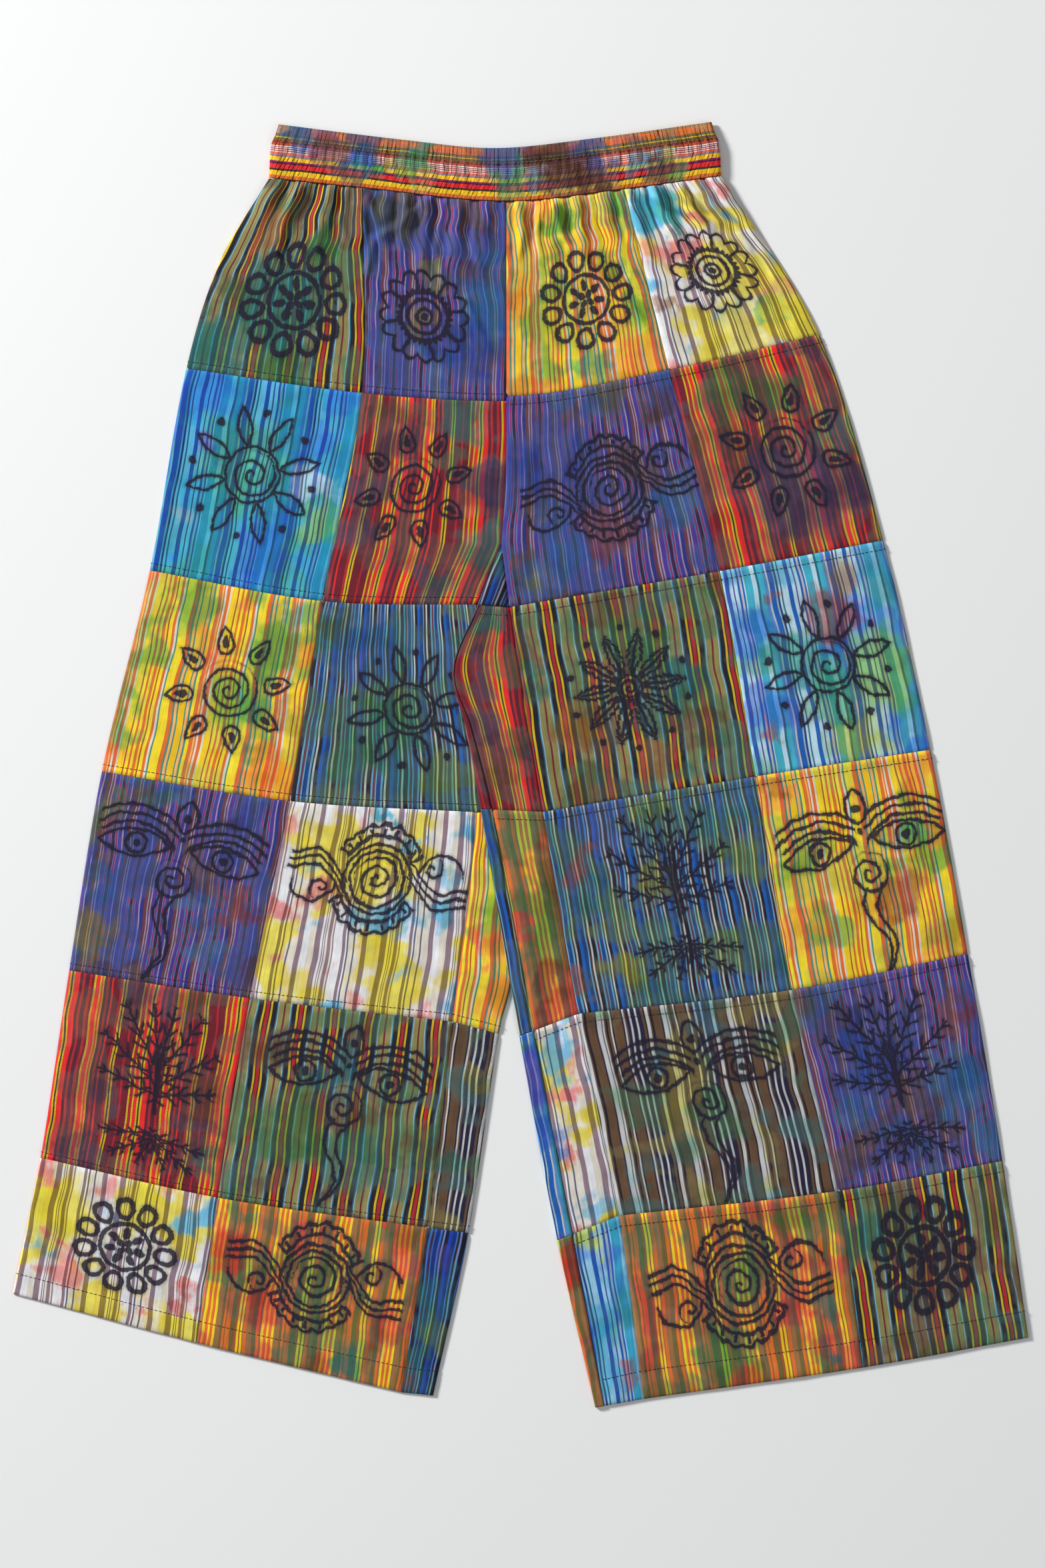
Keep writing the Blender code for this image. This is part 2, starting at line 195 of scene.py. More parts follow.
gathers = (
    # place in patches from the left side seam, height, half width, length, lean
    (0.12, 3.2, 0.13, 80.0, 0.00), (0.36, 4.6, 0.12, 105.0, -0.04), (0.68, 4.2, 0.12, 95.0, -0.05),
    (0.98, 3.6, 0.10, 90.0, 0.02), (1.17, 3.0, 0.07, 70.0, -0.03), (1.31, 5.6, 0.07, 62.0, -0.06),
    (1.46, 4.4, 0.08, 100.0, -0.08), (1.66, 3.4, 0.08, 90.0, -0.05), (1.86, 2.8, 0.08, 60.0, -0.02),
    (2.12, 3.0, 0.08, 55.0, 0.00), (2.36, 4.2, 0.08, 80.0, 0.02), (2.60, 4.8, 0.08, 88.0, -0.02),
    (2.82, 4.4, 0.08, 70.0, 0.03), (3.04, 3.8, 0.09, 75.0, 0.05), (3.30, 5.4, 0.10, 85.0, 0.10),
    (3.54, 5.8, 0.09, 78.0, 0.14), (3.76, 4.6, 0.09, 70.0, 0.08), (3.92, 2.8, 0.08, 60.0, 0.00),
)


def ease(share):
    share = min(max(share, 0.0), 1.0)
    return share * share * (3.0 - 2.0 * share)


def patchHeight(row):
    return layers["rowHeight"] if row < 5 else layers["footHeight"]


def smoothCurve(places, values, at, levelKnot=None, level=0.0):
    def slope(i):
        before, after = max(i - 1, 0), min(i + 1, len(places) - 1)
        found = (values[after] - values[before]) / (places[after] - places[before])
        return found * (1.0 - level) if i == levelKnot else found

    i = min(max(bisect.bisect_right(places, at) - 1, 0), len(places) - 2)
    span = places[i + 1] - places[i]
    s = (at - places[i]) / span
    start, end = slope(i) * span, slope(i + 1) * span
    return (
        (2 * s**3 - 3 * s**2 + 1) * values[i]
        + (s**3 - 2 * s**2 + s) * start
        + (3 * s**2 - 2 * s**3) * values[i + 1]
        + (s**3 - s**2) * end
    )


def tableCurve(table, at):
    return smoothCurve([row[0] for row in table], [row[1] for row in table], at)


def edgePoint(leg, name, line):
    run = next(run for run in leg[name] if line <= run[-1][0] or run is leg[name][-1])
    lines = [row[0] for row in run]
    x = smoothCurve(lines, [row[1] for row in run], line)
    y = smoothCurve(lines, [row[2] for row in run], line)
    return x, y


def lineY(knots, x, line, centre):
    # level at the centre while the two legs are still one
    places = [knot[0] for knot in knots]
    heights = [knot[1] for knot in knots]
    return smoothCurve(places, heights, x, centre, 1.0 - ease(line - 1.0))


def leftY(x, line):
    inner = edgePoint(leftEdges, "inner", line)
    last = edgePoint(leftEdges, "strip", line) if line > 2.0 else inner
    if x > last[0]:
        across = (x - last[0]) / max(inner[0] - last[0], layers["gap"])
        return last[1] + (inner[1] - last[1]) * across
    knots = (edgePoint(leftEdges, "side", line), edgePoint(leftEdges, "middle", line), last)
    return lineY(knots, x, line, 2)


def rightY(x, line):
    first = edgePoint(rightEdges, "strip", line)
    if x < first[0]:
        inner = edgePoint(rightEdges if line > 2.0 else leftEdges, "inner", line)
        across = (first[0] - x) / max(first[0] - inner[0], layers["gap"])
        return first[1] + (inner[1] - first[1]) * across
    knots = (first, edgePoint(rightEdges, "middle", line), edgePoint(rightEdges, "side", line))
    return lineY(knots, x, line, 0)


def climbHeight(x, y, reach=0.0):
    # the right leg lies on the left leg's inner edge
    covered = leftEdges["inner"][-1]
    falls = [-row[2] for row in covered]
    hidden = smoothCurve(falls, [row[1] for row in covered], min(max(-y, falls[0]), falls[-1]))
    down = 1.0 - ease((x - hidden - layers["climbFlat"] - reach) / layers["climbRamp"])
    above = 1.0 - ease((y - layers["climbTopY"] - reach) / layers["climbFadeUp"])
    below = 1.0 - ease((layers["climbFootY"] - reach - y) / layers["climbFadeDown"])
    return layers["climb"] * down * above * below


def gatherHeight(place, fall):
    height = 1.4 * (1.0 - ease(fall / 30.0))
    for middle, crown, halfWidth, length, lean in gathers:
        across = 1.0 - ease(abs(place - middle - lean * fall / length) / halfWidth)
        height += crown * across * (0.45 + 0.55 * ease(fall / 10.0)) * (1.0 - ease(fall / length))
    ripple = 0.5 + 0.5 * math.cos(14.0 * math.pi * place)
    return height + 0.7 * ripple * (1.0 - ease(fall / 30.0))


# node trees: values take Python's own operators, any other node comes from Bench.node


class Signal:
    def __init__(self, bench, socket):
        self.bench = bench
        self.socket = socket

    def math(self, operation, other=None, clamp=False):
        sockets = {0: self} if other is None else {0: self, 1: other}
        return self.bench.node("Math", {"operation": operation, "use_clamp": clamp}, sockets)

    def reflected(self, operation, other):
        return self.bench.node("Math", {"operation": operation}, {0: other, 1: self})

    def __add__(self, other):
        return self.math("ADD", other)

    def __radd__(self, other):
        return self.math("ADD", other)

    def __sub__(self, other):
        return self.math("SUBTRACT", other)

    def __rsub__(self, other):
        return self.reflected("SUBTRACT", other)

    def __mul__(self, other):
        return self.math("MULTIPLY", other)

    def __rmul__(self, other):
        return self.math("MULTIPLY", other)

    def __truediv__(self, other):
        return self.math("DIVIDE", other)

    def __rtruediv__(self, other):
        return self.reflected("DIVIDE", other)

    def __neg__(self):
        return self.math("MULTIPLY", -1.0)

    def __abs__(self):
        return self.math("ABSOLUTE")

    def least(self, other):
        return self.math("MINIMUM", other)

    def most(self, other):
        return self.math("MAXIMUM", other)

    def fade(self, start, end):
        # 0 at start to 1 at end, level at both
        settings = {"interpolation_type": "SMOOTHSTEP"}
        return self.bench.node("MapRange", settings, {0: self, 1: start, 2: end})


class Bench:
    def __init__(self, tree):
        self.tree = tree

    def node(self, kind, settings=None, sockets=None, out=0):
        made = self.tree.nodes.new("ShaderNode" + kind)
        for key, value in (settings or {}).items():
            if key == "stops":
                self.setStops(made.color_ramp, value)
            else:
                setattr(made, key, value)
        for key, value in (sockets or {}).items():
            if isinstance(value, Signal):
                self.tree.links.new(value.socket, made.inputs[key])
            else:
                made.inputs[key].default_value = value
        return Signal(self, made.outputs[out])

    def setStops(self, ramp, stops):
        ramp.interpolation = "CONSTANT"
        while len(ramp.elements) < len(stops):
            ramp.elements.new(1.0)
        for element, (place, colour) in zip(ramp.elements, stops):
            element.position = place
            element.color = colour

    def split(self, vector):
        parts = self.node("SeparateXYZ", None, {0: vector})
        sockets = parts.socket.node.outputs
        return Signal(self, sockets[0]), Signal(self, sockets[1])

    def grey(self, value):
        return self.node("CombineColor", None, {0: value, 1: value, 2: value})

    def value(self, number):
        made = self.node("Value")
        made.socket.default_value = number
        return made

    def scale(self, vector, factor):
        return self.node("VectorMath", {"operation": "SCALE"}, {0: vector, "Scale": factor})

    def flatPlace(self):
        # the place on the flat piece, in mm
        return self.scale(self.node("UVMap", {"uv_map": "UVMap"}), 1000.0)

    def waver(self, vector, scale, detail, reach):
        # an uneven shift to any side
        shift = self.vector("SUBTRACT", self.noise(vector, scale, detail, 1), (0.5, 0.5, 0.5))
        return self.scale(shift, reach)

    def point(self, x, y):
        return self.node("CombineXYZ", None, {0: x, 1: y})

    def noise(self, vector, scale, detail=2.0, out=0):
        return self.node(
            "TexNoise", {"noise_dimensions": "2D"}, {"Vector": vector, "Scale": scale, "Detail": detail}, out
        )

    def vector(self, operation, first, second, out=0):
        return self.node("VectorMath", {"operation": operation}, {0: first, 1: second}, out)

    def mix(self, share, first, second, blend="MIX"):
        settings = {"data_type": "RGBA", "blend_type": blend}
        return self.node("Mix", settings, {0: share, 6: first, 7: second}, 2)

    def distance(self, point, x, y):
        return self.vector("DISTANCE", point, (x, y, 0.0), "Value")


def makeGroup(name, inputs, outputs, build):
    # inputs and outputs: name and socket kind; build takes the bench and the inputs' signals
    tree = bpy.data.node_groups.new(name, "ShaderNodeTree")
    for direction, sockets in (("INPUT", inputs), ("OUTPUT", outputs)):
        for label, kind in sockets:
            tree.interface.new_socket(name=label, in_out=direction, socket_type="NodeSocket" + kind)
    bench = Bench(tree)
    entry = tree.nodes.new("NodeGroupInput")
    leave = tree.nodes.new("NodeGroupOutput")
    made = build(bench, *[Signal(bench, socket) for socket in entry.outputs[: len(inputs)]])
    for socket, signal in zip(leave.inputs, made):
        tree.links.new(signal.socket, socket)
    return tree


# handwoven cloths: yarn colour, width, and whether the yarn shows as dots

yarns = {
    "black": (0.013, 0.010, 0.018),
    "night": (0.014, 0.012, 0.040),
    "wine": (0.160, 0.010, 0.022),
    "red": (0.420, 0.016, 0.024),
    "bright": (0.780, 0.020, 0.022),
    "plum": (0.045, 0.010, 0.050),
    "maroon": (0.095, 0.015, 0.030),
    "magenta": (0.300, 0.012, 0.110),
    "violet": (0.070, 0.034, 0.270),
    "indigo": (0.022, 0.030, 0.210),
    "lilac": (0.480, 0.390, 0.580),
    "azure": (0.080, 0.260, 0.560),
    "blue": (0.010, 0.050, 0.200),
    "royal": (0.008, 0.110, 0.440),
    "sky": (0.200, 0.500, 0.800),
    "teal": (0.012, 0.150, 0.230),
    "sea": (0.050, 0.420, 0.560),
    "pale": (0.480, 0.680, 0.780),
    "white": (0.800, 0.800, 0.820),
    "cream": (0.760, 0.700, 0.600),
    "mauve": (0.280, 0.190, 0.235),
    "slate": (0.115, 0.120, 0.190),
    "yellow": (0.930, 0.640, 0.015),
    "lemon": (0.920, 0.700, 0.025),
    "gold": (0.900, 0.540, 0.012),
    "peach": (0.900, 0.470, 0.150),
    "orange": (0.740, 0.160, 0.025),
    "rust": (0.420, 0.090, 0.025),
    "tan": (0.260, 0.235, 0.080),
    "ochre": (0.330, 0.155, 0.055),
    "olive": (0.170, 0.125, 0.035),
    "earth": (0.120, 0.062, 0.030),
    "umber": (0.050, 0.024, 0.018),
    "grape": (0.130, 0.035, 0.055),
    "green": (0.060, 0.260, 0.200),
    "brick": (0.420, 0.060, 0.025),
    "coral": (0.720, 0.130, 0.080),
}
dotted = True
cloths = {
    "olive": (
        ("red", 1.3), ("black", 0.9), ("yellow", 1.5, dotted), ("black", 3.5), ("teal", 0.9),
        ("pale", 0.8, dotted), ("tan", 3.9), ("wine", 1.4), ("tan", 3.9), ("pale", 0.8, dotted),
        ("teal", 0.9), ("black", 3.5), ("yellow", 1.5, dotted), ("black", 0.9), ("red", 1.3),
    ),
    "purple": (
        ("lilac", 0.9, dotted), ("grape", 1.1), ("lilac", 0.9, dotted), ("violet", 3.0),
        ("azure", 0.7, dotted), ("magenta", 1.1), ("azure", 0.8, dotted), ("plum", 2.4),
        ("azure", 0.7, dotted), ("magenta", 1.2), ("azure", 0.7, dotted), ("violet", 2.6),
        ("lilac", 1.0, dotted), ("indigo", 2.6), ("grape", 2.6),
    ),
    "yellow": (
        ("orange", 3.0), ("green", 1.2), ("peach", 1.9), ("green", 1.1), ("gold", 4.6),
        ("green", 1.0), ("peach", 2.2), ("green", 1.2), ("lemon", 2.5), ("orange", 2.6),
        ("peach", 1.2), ("orange", 1.0), ("cream", 1.4), ("orange", 2.4), ("cream", 1.4),
        ("yellow", 4.8), ("rust", 1.0), ("lemon", 2.5), ("orange", 1.4), ("lemon", 2.3),
        ("orange", 2.2), ("yellow", 1.4), ("rust", 1.2), ("lemon", 2.6), ("orange", 1.9),
        ("cream", 1.6), ("green", 1.2), ("lemon", 6.4),
    ),
    "white": (
        ("mauve", 2.6), ("cream", 1.2), ("mauve", 1.0), ("white", 6.6), ("mauve", 2.3),
        ("white", 1.3), ("slate", 1.2), ("cream", 3.6), ("slate", 1.1), ("cream", 5.4),
        ("mauve", 3.6), ("white", 5.0), ("cream", 4.8), ("mauve", 4.6), ("white", 1.6),
        ("mauve", 0.8), ("white", 0.8), ("mauve", 0.9), ("cream", 1.6),
    ),
    "turquoise": (
        ("azure", 2.4), ("white", 1.3, dotted), ("royal", 3.9), ("pale", 1.1, dotted),
        ("blue", 1.6), ("pale", 1.4), ("teal", 1.2), ("pale", 4.6), ("royal", 3.2), ("pale", 2.6),
        ("violet", 0.9), ("pale", 2.6), ("royal", 1.8), ("white", 1.6, dotted), ("royal", 1.4),
        ("pale", 1.0), ("sea", 6.0), ("pale", 3.6), ("teal", 1.8), ("sea", 4.3),
    ),
    "red": (
        ("yellow", 1.3, dotted), ("bright", 3.0), ("yellow", 1.3, dotted), ("bright", 1.0),
        ("yellow", 1.4, dotted), ("maroon", 1.8), ("red", 2.0), ("maroon", 1.9), ("bright", 1.3),
        ("wine", 5.0), ("red", 1.9), ("yellow", 1.3, dotted), ("umber", 1.0),
        ("yellow", 1.3, dotted), ("wine", 6.0), ("red", 1.5), ("wine", 5.0), ("yellow", 1.3, dotted),
        ("red", 2.6), ("yellow", 1.3, dotted), ("bright", 2.3), ("yellow", 1.4, dotted),
        ("umber", 1.1), ("yellow", 1.3, dotted), ("bright", 4.0), ("maroon", 2.0), ("red", 2.0),
        ("maroon", 3.0), ("red", 2.0), ("wine", 2.0),
    ),
    "navy": (
        ("black", 3.0), ("sky", 1.3, dotted), ("grape", 1.6), ("sky", 0.8, dotted), ("blue", 2.8),
        ("sky", 1.3, dotted), ("black", 1.0), ("white", 1.2, dotted), ("black", 2.3),
        ("royal", 2.5), ("blue", 2.8), ("sky", 1.0, dotted), ("umber", 1.6), ("white", 1.4, dotted),
    ),
    "brown": (
        ("white", 2.6, dotted), ("earth", 1.0), ("black", 1.7), ("earth", 6.0), ("night", 1.3),
        ("white", 3.4, dotted), ("black", 0.6), ("white", 1.3, dotted), ("earth", 1.2),
        ("black", 1.4), ("earth", 1.8), ("white", 1.3, dotted), ("black", 1.2), ("earth", 7.0),
        ("night", 1.2), ("white", 1.3, dotted), ("earth", 1.3), ("night", 2.4),
        ("white", 1.5, dotted), ("night", 3.5), ("white", 1.5, dotted), ("night", 3.6),
        ("earth", 1.8), ("black", 1.3),
    ),
    "orange": (
        ("yellow", 1.7), ("rust", 1.1), ("yellow", 1.7), ("ochre", 0.9), ("orange", 2.6),
        ("ochre", 4.0), ("olive", 3.4), ("orange", 2.2), ("ochre", 1.6), ("yellow", 2.0),
        ("orange", 2.1), ("yellow", 1.6), ("orange", 2.2), ("yellow", 1.7), ("ochre", 4.0),
        ("olive", 1.9), ("orange", 1.9), ("olive", 0.7), ("orange", 3.6), ("olive", 3.9),
        ("rust", 2.1),
    ),
}
weave = {
    "twillPitch": 0.85,
    "beadPitch": 0.95,
    "wander": 2.4,
    "streak": 0.42,
}


def stripeStops(stripes):
    # stops for a colour ramp, whose alpha marks the dotted yarns, and the stripes' whole width
    period = sum(stripe[1] for stripe in stripes)
    stops, place = [], 0.0
    for stripe in stripes:
        stops.append((place / period, (*yarns[stripe[0]], 1.0 if len(stripe) > 2 else 0.0)))
        place += stripe[1]
    return stops, period


def clothGroup(cloth):
    stops, period = stripeStops(cloths[cloth])

    def build(bench, point):
        u, v = bench.split(point)
        wander = (bench.noise(point, 0.022, 1.0) - 0.5) * weave["wander"] * 2.0
        tooth = (v / weave["beadPitch"]).math("FRACT") - 0.5
        place = u + wander + abs(tooth) * 0.5
        ramp = bench.node("ValToRGB", {"stops": stops}, {0: (place / period).math("FRACT")})
        isDotted = Signal(bench, ramp.socket.node.outputs[1])
        stretched = bench.vector("MULTIPLY", point, (1.0, 0.03, 1.0))
        streak = bench.noise(stretched, 1.1, 2.0)
        rib = (bench.noise(point, 0.045, 0.0) - 0.5).math("SIGN")
        twill = ((u * rib + v) * (2.0 * math.pi / weave["twillPitch"])).math("SINE")
        bead = ((v + u * 0.5) * (2.0 * math.pi / weave["beadPitch"])).math("SINE")
        ground = isDotted * bead.fade(0.1, -0.5) * 0.75
        tone = (1.0 - weave["streak"] * 0.5 + streak * weave["streak"] + twill * 0.10) * (1.0 - ground)
        colour = bench.mix(1.0, ramp, bench.grey(tone), "MULTIPLY")
        relief = twill * 0.5 + bead * isDotted * 0.5 + streak
        return colour, relief

    outputs = [("Colour", "Color"), ("Relief", "Float")]
    return makeGroup("weave_" + cloth, [("Point", "Vector")], outputs, build)


# block prints in ink: each group gives the distance to its lines, in shares of its radius


def polar(bench, point, count, turn=0.0):
    # one of count equal petals, lying along x
    x, y = bench.split(point)
    radius = bench.vector("LENGTH", point, (0.0, 0.0, 0.0), "Value")
    angle = y.math("ARCTAN2", x)
    share = (angle * (count / (2.0 * math.pi)) + (0.5 + turn)).math("FRACT") - 0.5
    local = share * (2.0 * math.pi / count)
    return radius, angle, radius * local.math("COSINE"), radius * local.math("SINE")


def ring(bench, point, x, y, radius):
    return abs(bench.distance(point, x, y) - radius)


def spiral(radius, angle, pitch, outer, turn=0.0):
    # an even spiral out to the outer radius
    arm = (radius / pitch - angle * (0.5 / math.pi) + (0.5 + turn)).math("FRACT") - 0.5
    return (abs(arm) * pitch).most(radius - outer)


def almond(bench, x, y, middle, halfLength, halfWidth):
    # below 0 inside a pointed almond
    bow = (halfLength**2 + halfWidth**2) / (2.0 * halfWidth)
    folded = bench.point(x, abs(y))
    return bench.distance(folded, middle, halfWidth - bow) - bow


def teardrop(bench, x, y, middle, halfLength, halfWidth):
    # round inside, pointed outside
    tip = almond(bench, x, y, middle, halfLength, halfWidth)
    belly = bench.distance(bench.point(x, y), middle, 0.0) - halfWidth
    outside = x.math("GREATER_THAN", middle)
    return tip * outside + belly * (1.0 - outside)


def stroke(bench, point, start, end):
    along = Vector((end[0] - start[0], end[1] - start[1], 0.0))
    local = bench.vector("SUBTRACT", point, (*start, 0.0))
    share = bench.vector("DOT_PRODUCT", local, tuple(along / along.length_squared), "Value")
    share = share.math("MULTIPLY", 1.0, clamp=True)
    reached = bench.node("VectorMath", {"operation": "SCALE"}, {0: tuple(along), "Scale": share})
    return bench.vector("DISTANCE", local, reached, "Value")


def sprig(bench, point, start, angle, length, spread, pitch=0.12):
    # a twig with short side shoots
    along = Vector((math.cos(angle), math.sin(angle), 0.0))
    aside = Vector((-along.y, along.x, 0.0))
    local = bench.vector("SUBTRACT", point, (*start, 0.0))
    s = bench.vector("DOT_PRODUCT", local, tuple(along), "Value")
    t = abs(bench.vector("DOT_PRODUCT", local, tuple(aside), "Value"))
    shoots = abs(((s - t * 1.1) / pitch).math("FRACT") - 0.5) * (pitch * 0.67) - 0.004
    reach = spread * (1.0 - 0.55 * (s / length))
    shoots = shoots.most(t - reach).most(0.0 - s).most(s - length)
    stem = t.most(0.0 - s).most(s - length) - 0.004
    return shoots.least(stem)


def roundFlower(bench, point):
    radius, angle, x, y = polar(bench, point, 11)
    disc = abs(radius - 0.48)
    # petals are round outside and narrow towards the disc
    petal = abs(bench.distance(bench.point(x * 0.85, y * (1.55 - x * 0.72)), 0.66, 0.0) - 0.155)
    _, _, seedX, seedY = polar(bench, point, 7, 0.2)
    seeds = bench.distance(bench.point(seedX * 0.6, seedY), 0.17, 0.0) - 0.03
    _, _, dotX, dotY = polar(bench, point, 4, 0.4)
    dots = bench.distance(bench.point(dotX * 0.7, dotY), 0.08, 0.0) - 0.025
    return disc.least(petal).least(seeds).least(dots)


def ringRosette(bench, point):
    radius, angle, x, y = polar(bench, point, 8)
    # each petal has two lobes
    petal = abs((angle * 4.0).math("SINE"))
    lobe = abs((angle * 8.0).math("SINE"))
    rim = abs(radius - 0.76 - petal * 0.06 - lobe * 0.12)
    _, _, ribX, ribY = polar(bench, point, 8, 0.5)
    ribs = abs(ribY).most(0.48 - ribX).most(ribX - 0.80)
    rings = abs(radius - 0.16).least(abs(radius - 0.34)).least(radius - 0.045)
    teeth = abs((angle * 15.0).math("SINE"))
    collar = (abs(radius - 0.49 - teeth * 0.03) - teeth * 0.035).most(0.44 - radius)
    return rim.least(ribs).least(rings).least(collar)


def almondFlower(bench, point):
    radius, angle, x, y = polar(bench, point, 8, 0.5)
    petal = abs(almond(bench, x, y, 0.72, 0.29, 0.105))
    heart = abs(radius - 0.41)
    curl = spiral(radius, angle, 0.17, 0.34)
    _, _, dotX, dotY = polar(bench, point, 8)
    dots = bench.distance(bench.point(dotX, dotY), 0.93, 0.0) - 0.035
    return petal.least(heart).least(curl).least(dots)


def sunDrops(bench, point):
    radius, angle, x, y = polar(bench, point, 8, 0.5)
    shell = teardrop(bench, x, y, 0.70, 0.30, 0.125)
    seed = teardrop(bench, x, y, 0.72, 0.12, 0.030)
    curl = spiral(radius, angle, 0.15, 0.44)
    return abs(shell).least(seed).least(curl)


def spikyLeaves(bench, point):
    radius, angle, x, y = polar(bench, point, 10)
    tooth = (x * 9.0).math("FRACT") * 0.035
    leaf = abs(almond(bench, x, y, 0.56, 0.36, 0.12) + tooth)
    rib = abs(y).most(0.28 - x).most(x - 0.80)
    heart = abs(radius - 0.20)
    curl = spiral(radius, angle, 0.09, 0.15)
    _, _, dotX, dotY = polar(bench, point, 10, 0.5)
    dots = bench.distance(bench.point(dotX, dotY), 0.97, 0.0) - 0.03
    return leaf.least(rib).least(heart).least(curl).least(dots)


def swirlWaves(bench, point):
    # the same when turned by half a turn: the left half is folded on to the right
    x, y = bench.split(point)
    side = x.math("SIGN")
    x, y = x * side, y * side
    folded = bench.point(x, y)
    radius = bench.vector("LENGTH", point, (0.0, 0.0, 0.0), "Value")
    px, py = bench.split(point)
    angle = py.math("ARCTAN2", px)
    curl = spiral(radius, angle, 0.105, 0.23)
    arcs = abs(radius - 0.30).least(abs(radius - 0.37))
    # three lines leave over the shoulder and run out level
    fall = 0.17 - 0.34 * x.fade(0.22, 0.78) + 0.05 * ((x - 0.78) * 7.0).math("SINE")
    bands = abs(y - fall).least(abs(y - fall - 0.085)).least(abs(y - fall + 0.085))
    bands = bands.most(0.34 - x).most(x - 0.99)
    hookAngle = (y - 0.16).math("ARCTAN2", x - 0.60)
    hook = spiral(bench.distance(folded, 0.60, 0.16), hookAngle, 0.11, 0.10).most(0.40 - x)
    brow = ring(bench, folded, 0.70, 0.06, 0.25).most(0.10 - y).most(x - 0.93)
    height = abs(y)
    lean = x * 0.62 - height
    span = bench.distance(bench.point(x, height * 0.86), 0.0, 0.0)
    scallop = abs((angle * 11.0).math("SINE")) * 0.028
    fan = abs(span - 0.485 - scallop).least(abs(span - 0.405)).most(lean)
    ends = abs(lean * 0.8).most(0.40 - span).most(span - 0.52)
    beads = abs((angle * (11.0 / math.pi)).math("FRACT") - 0.5) * 0.28
    dots = (abs(span - 0.448).most(beads) - 0.014).most(lean)
    return curl.least(arcs).least(bands).least(hook).least(brow).least(fan).least(ends).least(dots)


def calmEyes(bench, point):
    x, y = bench.split(point)
    folded = bench.point(abs(x), y)
    across, level = abs(x), y
    eye = abs(almond(bench, across, level + (across - 0.54) * 0.10, 0.54, 0.42, 0.16))
    iris = ring(bench, folded, 0.52, 0.0, 0.12).least(bench.distance(folded, 0.52, 0.0) - 0.030)
    lids = ring(bench, folded, 0.53, -0.36, 0.60).least(ring(bench, folded, 0.53, -0.36, 0.70))
    lids = lids.least(ring(bench, folded, 0.53, -0.36, 0.80))
    lids = lids.most(0.08 - across).most(across - 0.99).most(-0.02 - level + across * 0.12)
    drop = abs(almond(bench, y, x, 0.42, 0.19, 0.12)).least(bench.distance(point, 0.0, 0.40) - 0.030)
    drop = drop.least(bench.distance(point, 0.0, 0.14) - 0.02)
    radius = bench.distance(point, 0.0, -0.34)
    angle = (y + 0.34).math("ARCTAN2", x)
    curl = spiral(radius, angle, 0.115, 0.22)
    sway = ((y + 0.5) * 7.0).math("SINE") * 0.085 + 0.02
    width = 0.085 * (y + 1.62)
    tail = abs(abs(x - sway) - width).most(y + 0.50).most(-1.55 - y)
    return eye.least(iris).least(lids).least(drop).least(curl).least(tail)


def rootedTree(bench, point):
    x, y = bench.split(point)
    # the left side's boughs sit a little lower
    folded = bench.point(abs(x + y * 0.05), y + x * 0.06)
    lines = stroke(bench, folded, (0.0, -0.50), (0.03, 0.30)) - 0.012
    for start, angle, length, spread in (
        ((0.02, 0.25), 1.38, 0.66, 0.15),
        ((0.02, 0.06), 1.00, 0.92, 0.17),
        ((0.02, -0.12), 0.62, 0.92, 0.16),
        ((0.02, -0.26), 0.24, 0.78, 0.13),
    ):
        lines = lines.least(sprig(bench, folded, start, angle, length, spread, 0.19))
    for start, angle, length, spread in (
        ((0.0, -0.80), -0.12, 0.72, 0.10),
        ((0.0, -0.84), -0.55, 0.66, 0.11),
        ((0.0, -0.86), -1.10, 0.42, 0.10),
    ):
        lines = lines.least(sprig(bench, folded, start, angle, length, spread, 0.16))
    return lines


printDrawings = {
    "roundFlower": roundFlower,
    "ringRosette": ringRosette,
    "almondFlower": almondFlower,
    "sunDrops": sunDrops,
    "spikyLeaves": spikyLeaves,
    "swirlWaves": swirlWaves,
    "calmEyes": calmEyes,
    "rootedTree": rootedTree,
}


def printGroup(kind):
    drawing = printDrawings[kind]
    return makeGroup(
        "print_" + kind,
        [("Point", "Vector")],
        [("Distance", "Float")],
        lambda bench, point: [drawing(bench, point)],
    )


# tie-dye: tints that the cloth's own colours are multiplied by

dyes = {
    "none": (1.0, 1.0, 1.0),
    "teal": (0.10, 0.62, 0.62),
    "green": (0.16, 0.62, 0.22),
    "lime": (0.62, 0.85, 0.15),
    "blue": (0.06, 0.26, 0.95),
    "sky": (0.10, 0.62, 1.00),
    "cyan": (0.05, 0.55, 0.80),
    "yellow": (1.00, 0.86, 0.06),
    "orange": (1.00, 0.42, 0.06),
    "red": (0.85, 0.14, 0.10),
    "rose": (1.00, 0.30, 0.28),
    "brown": (0.40, 0.18, 0.08),
    "umber": (0.15, 0.07, 0.045),
    "violet": (0.32, 0.20, 0.75),
    "navy": (0.13, 0.14, 0.50),
    "moss": (0.36, 0.40, 0.10),
    "grey": (0.55, 0.60, 0.60),
}

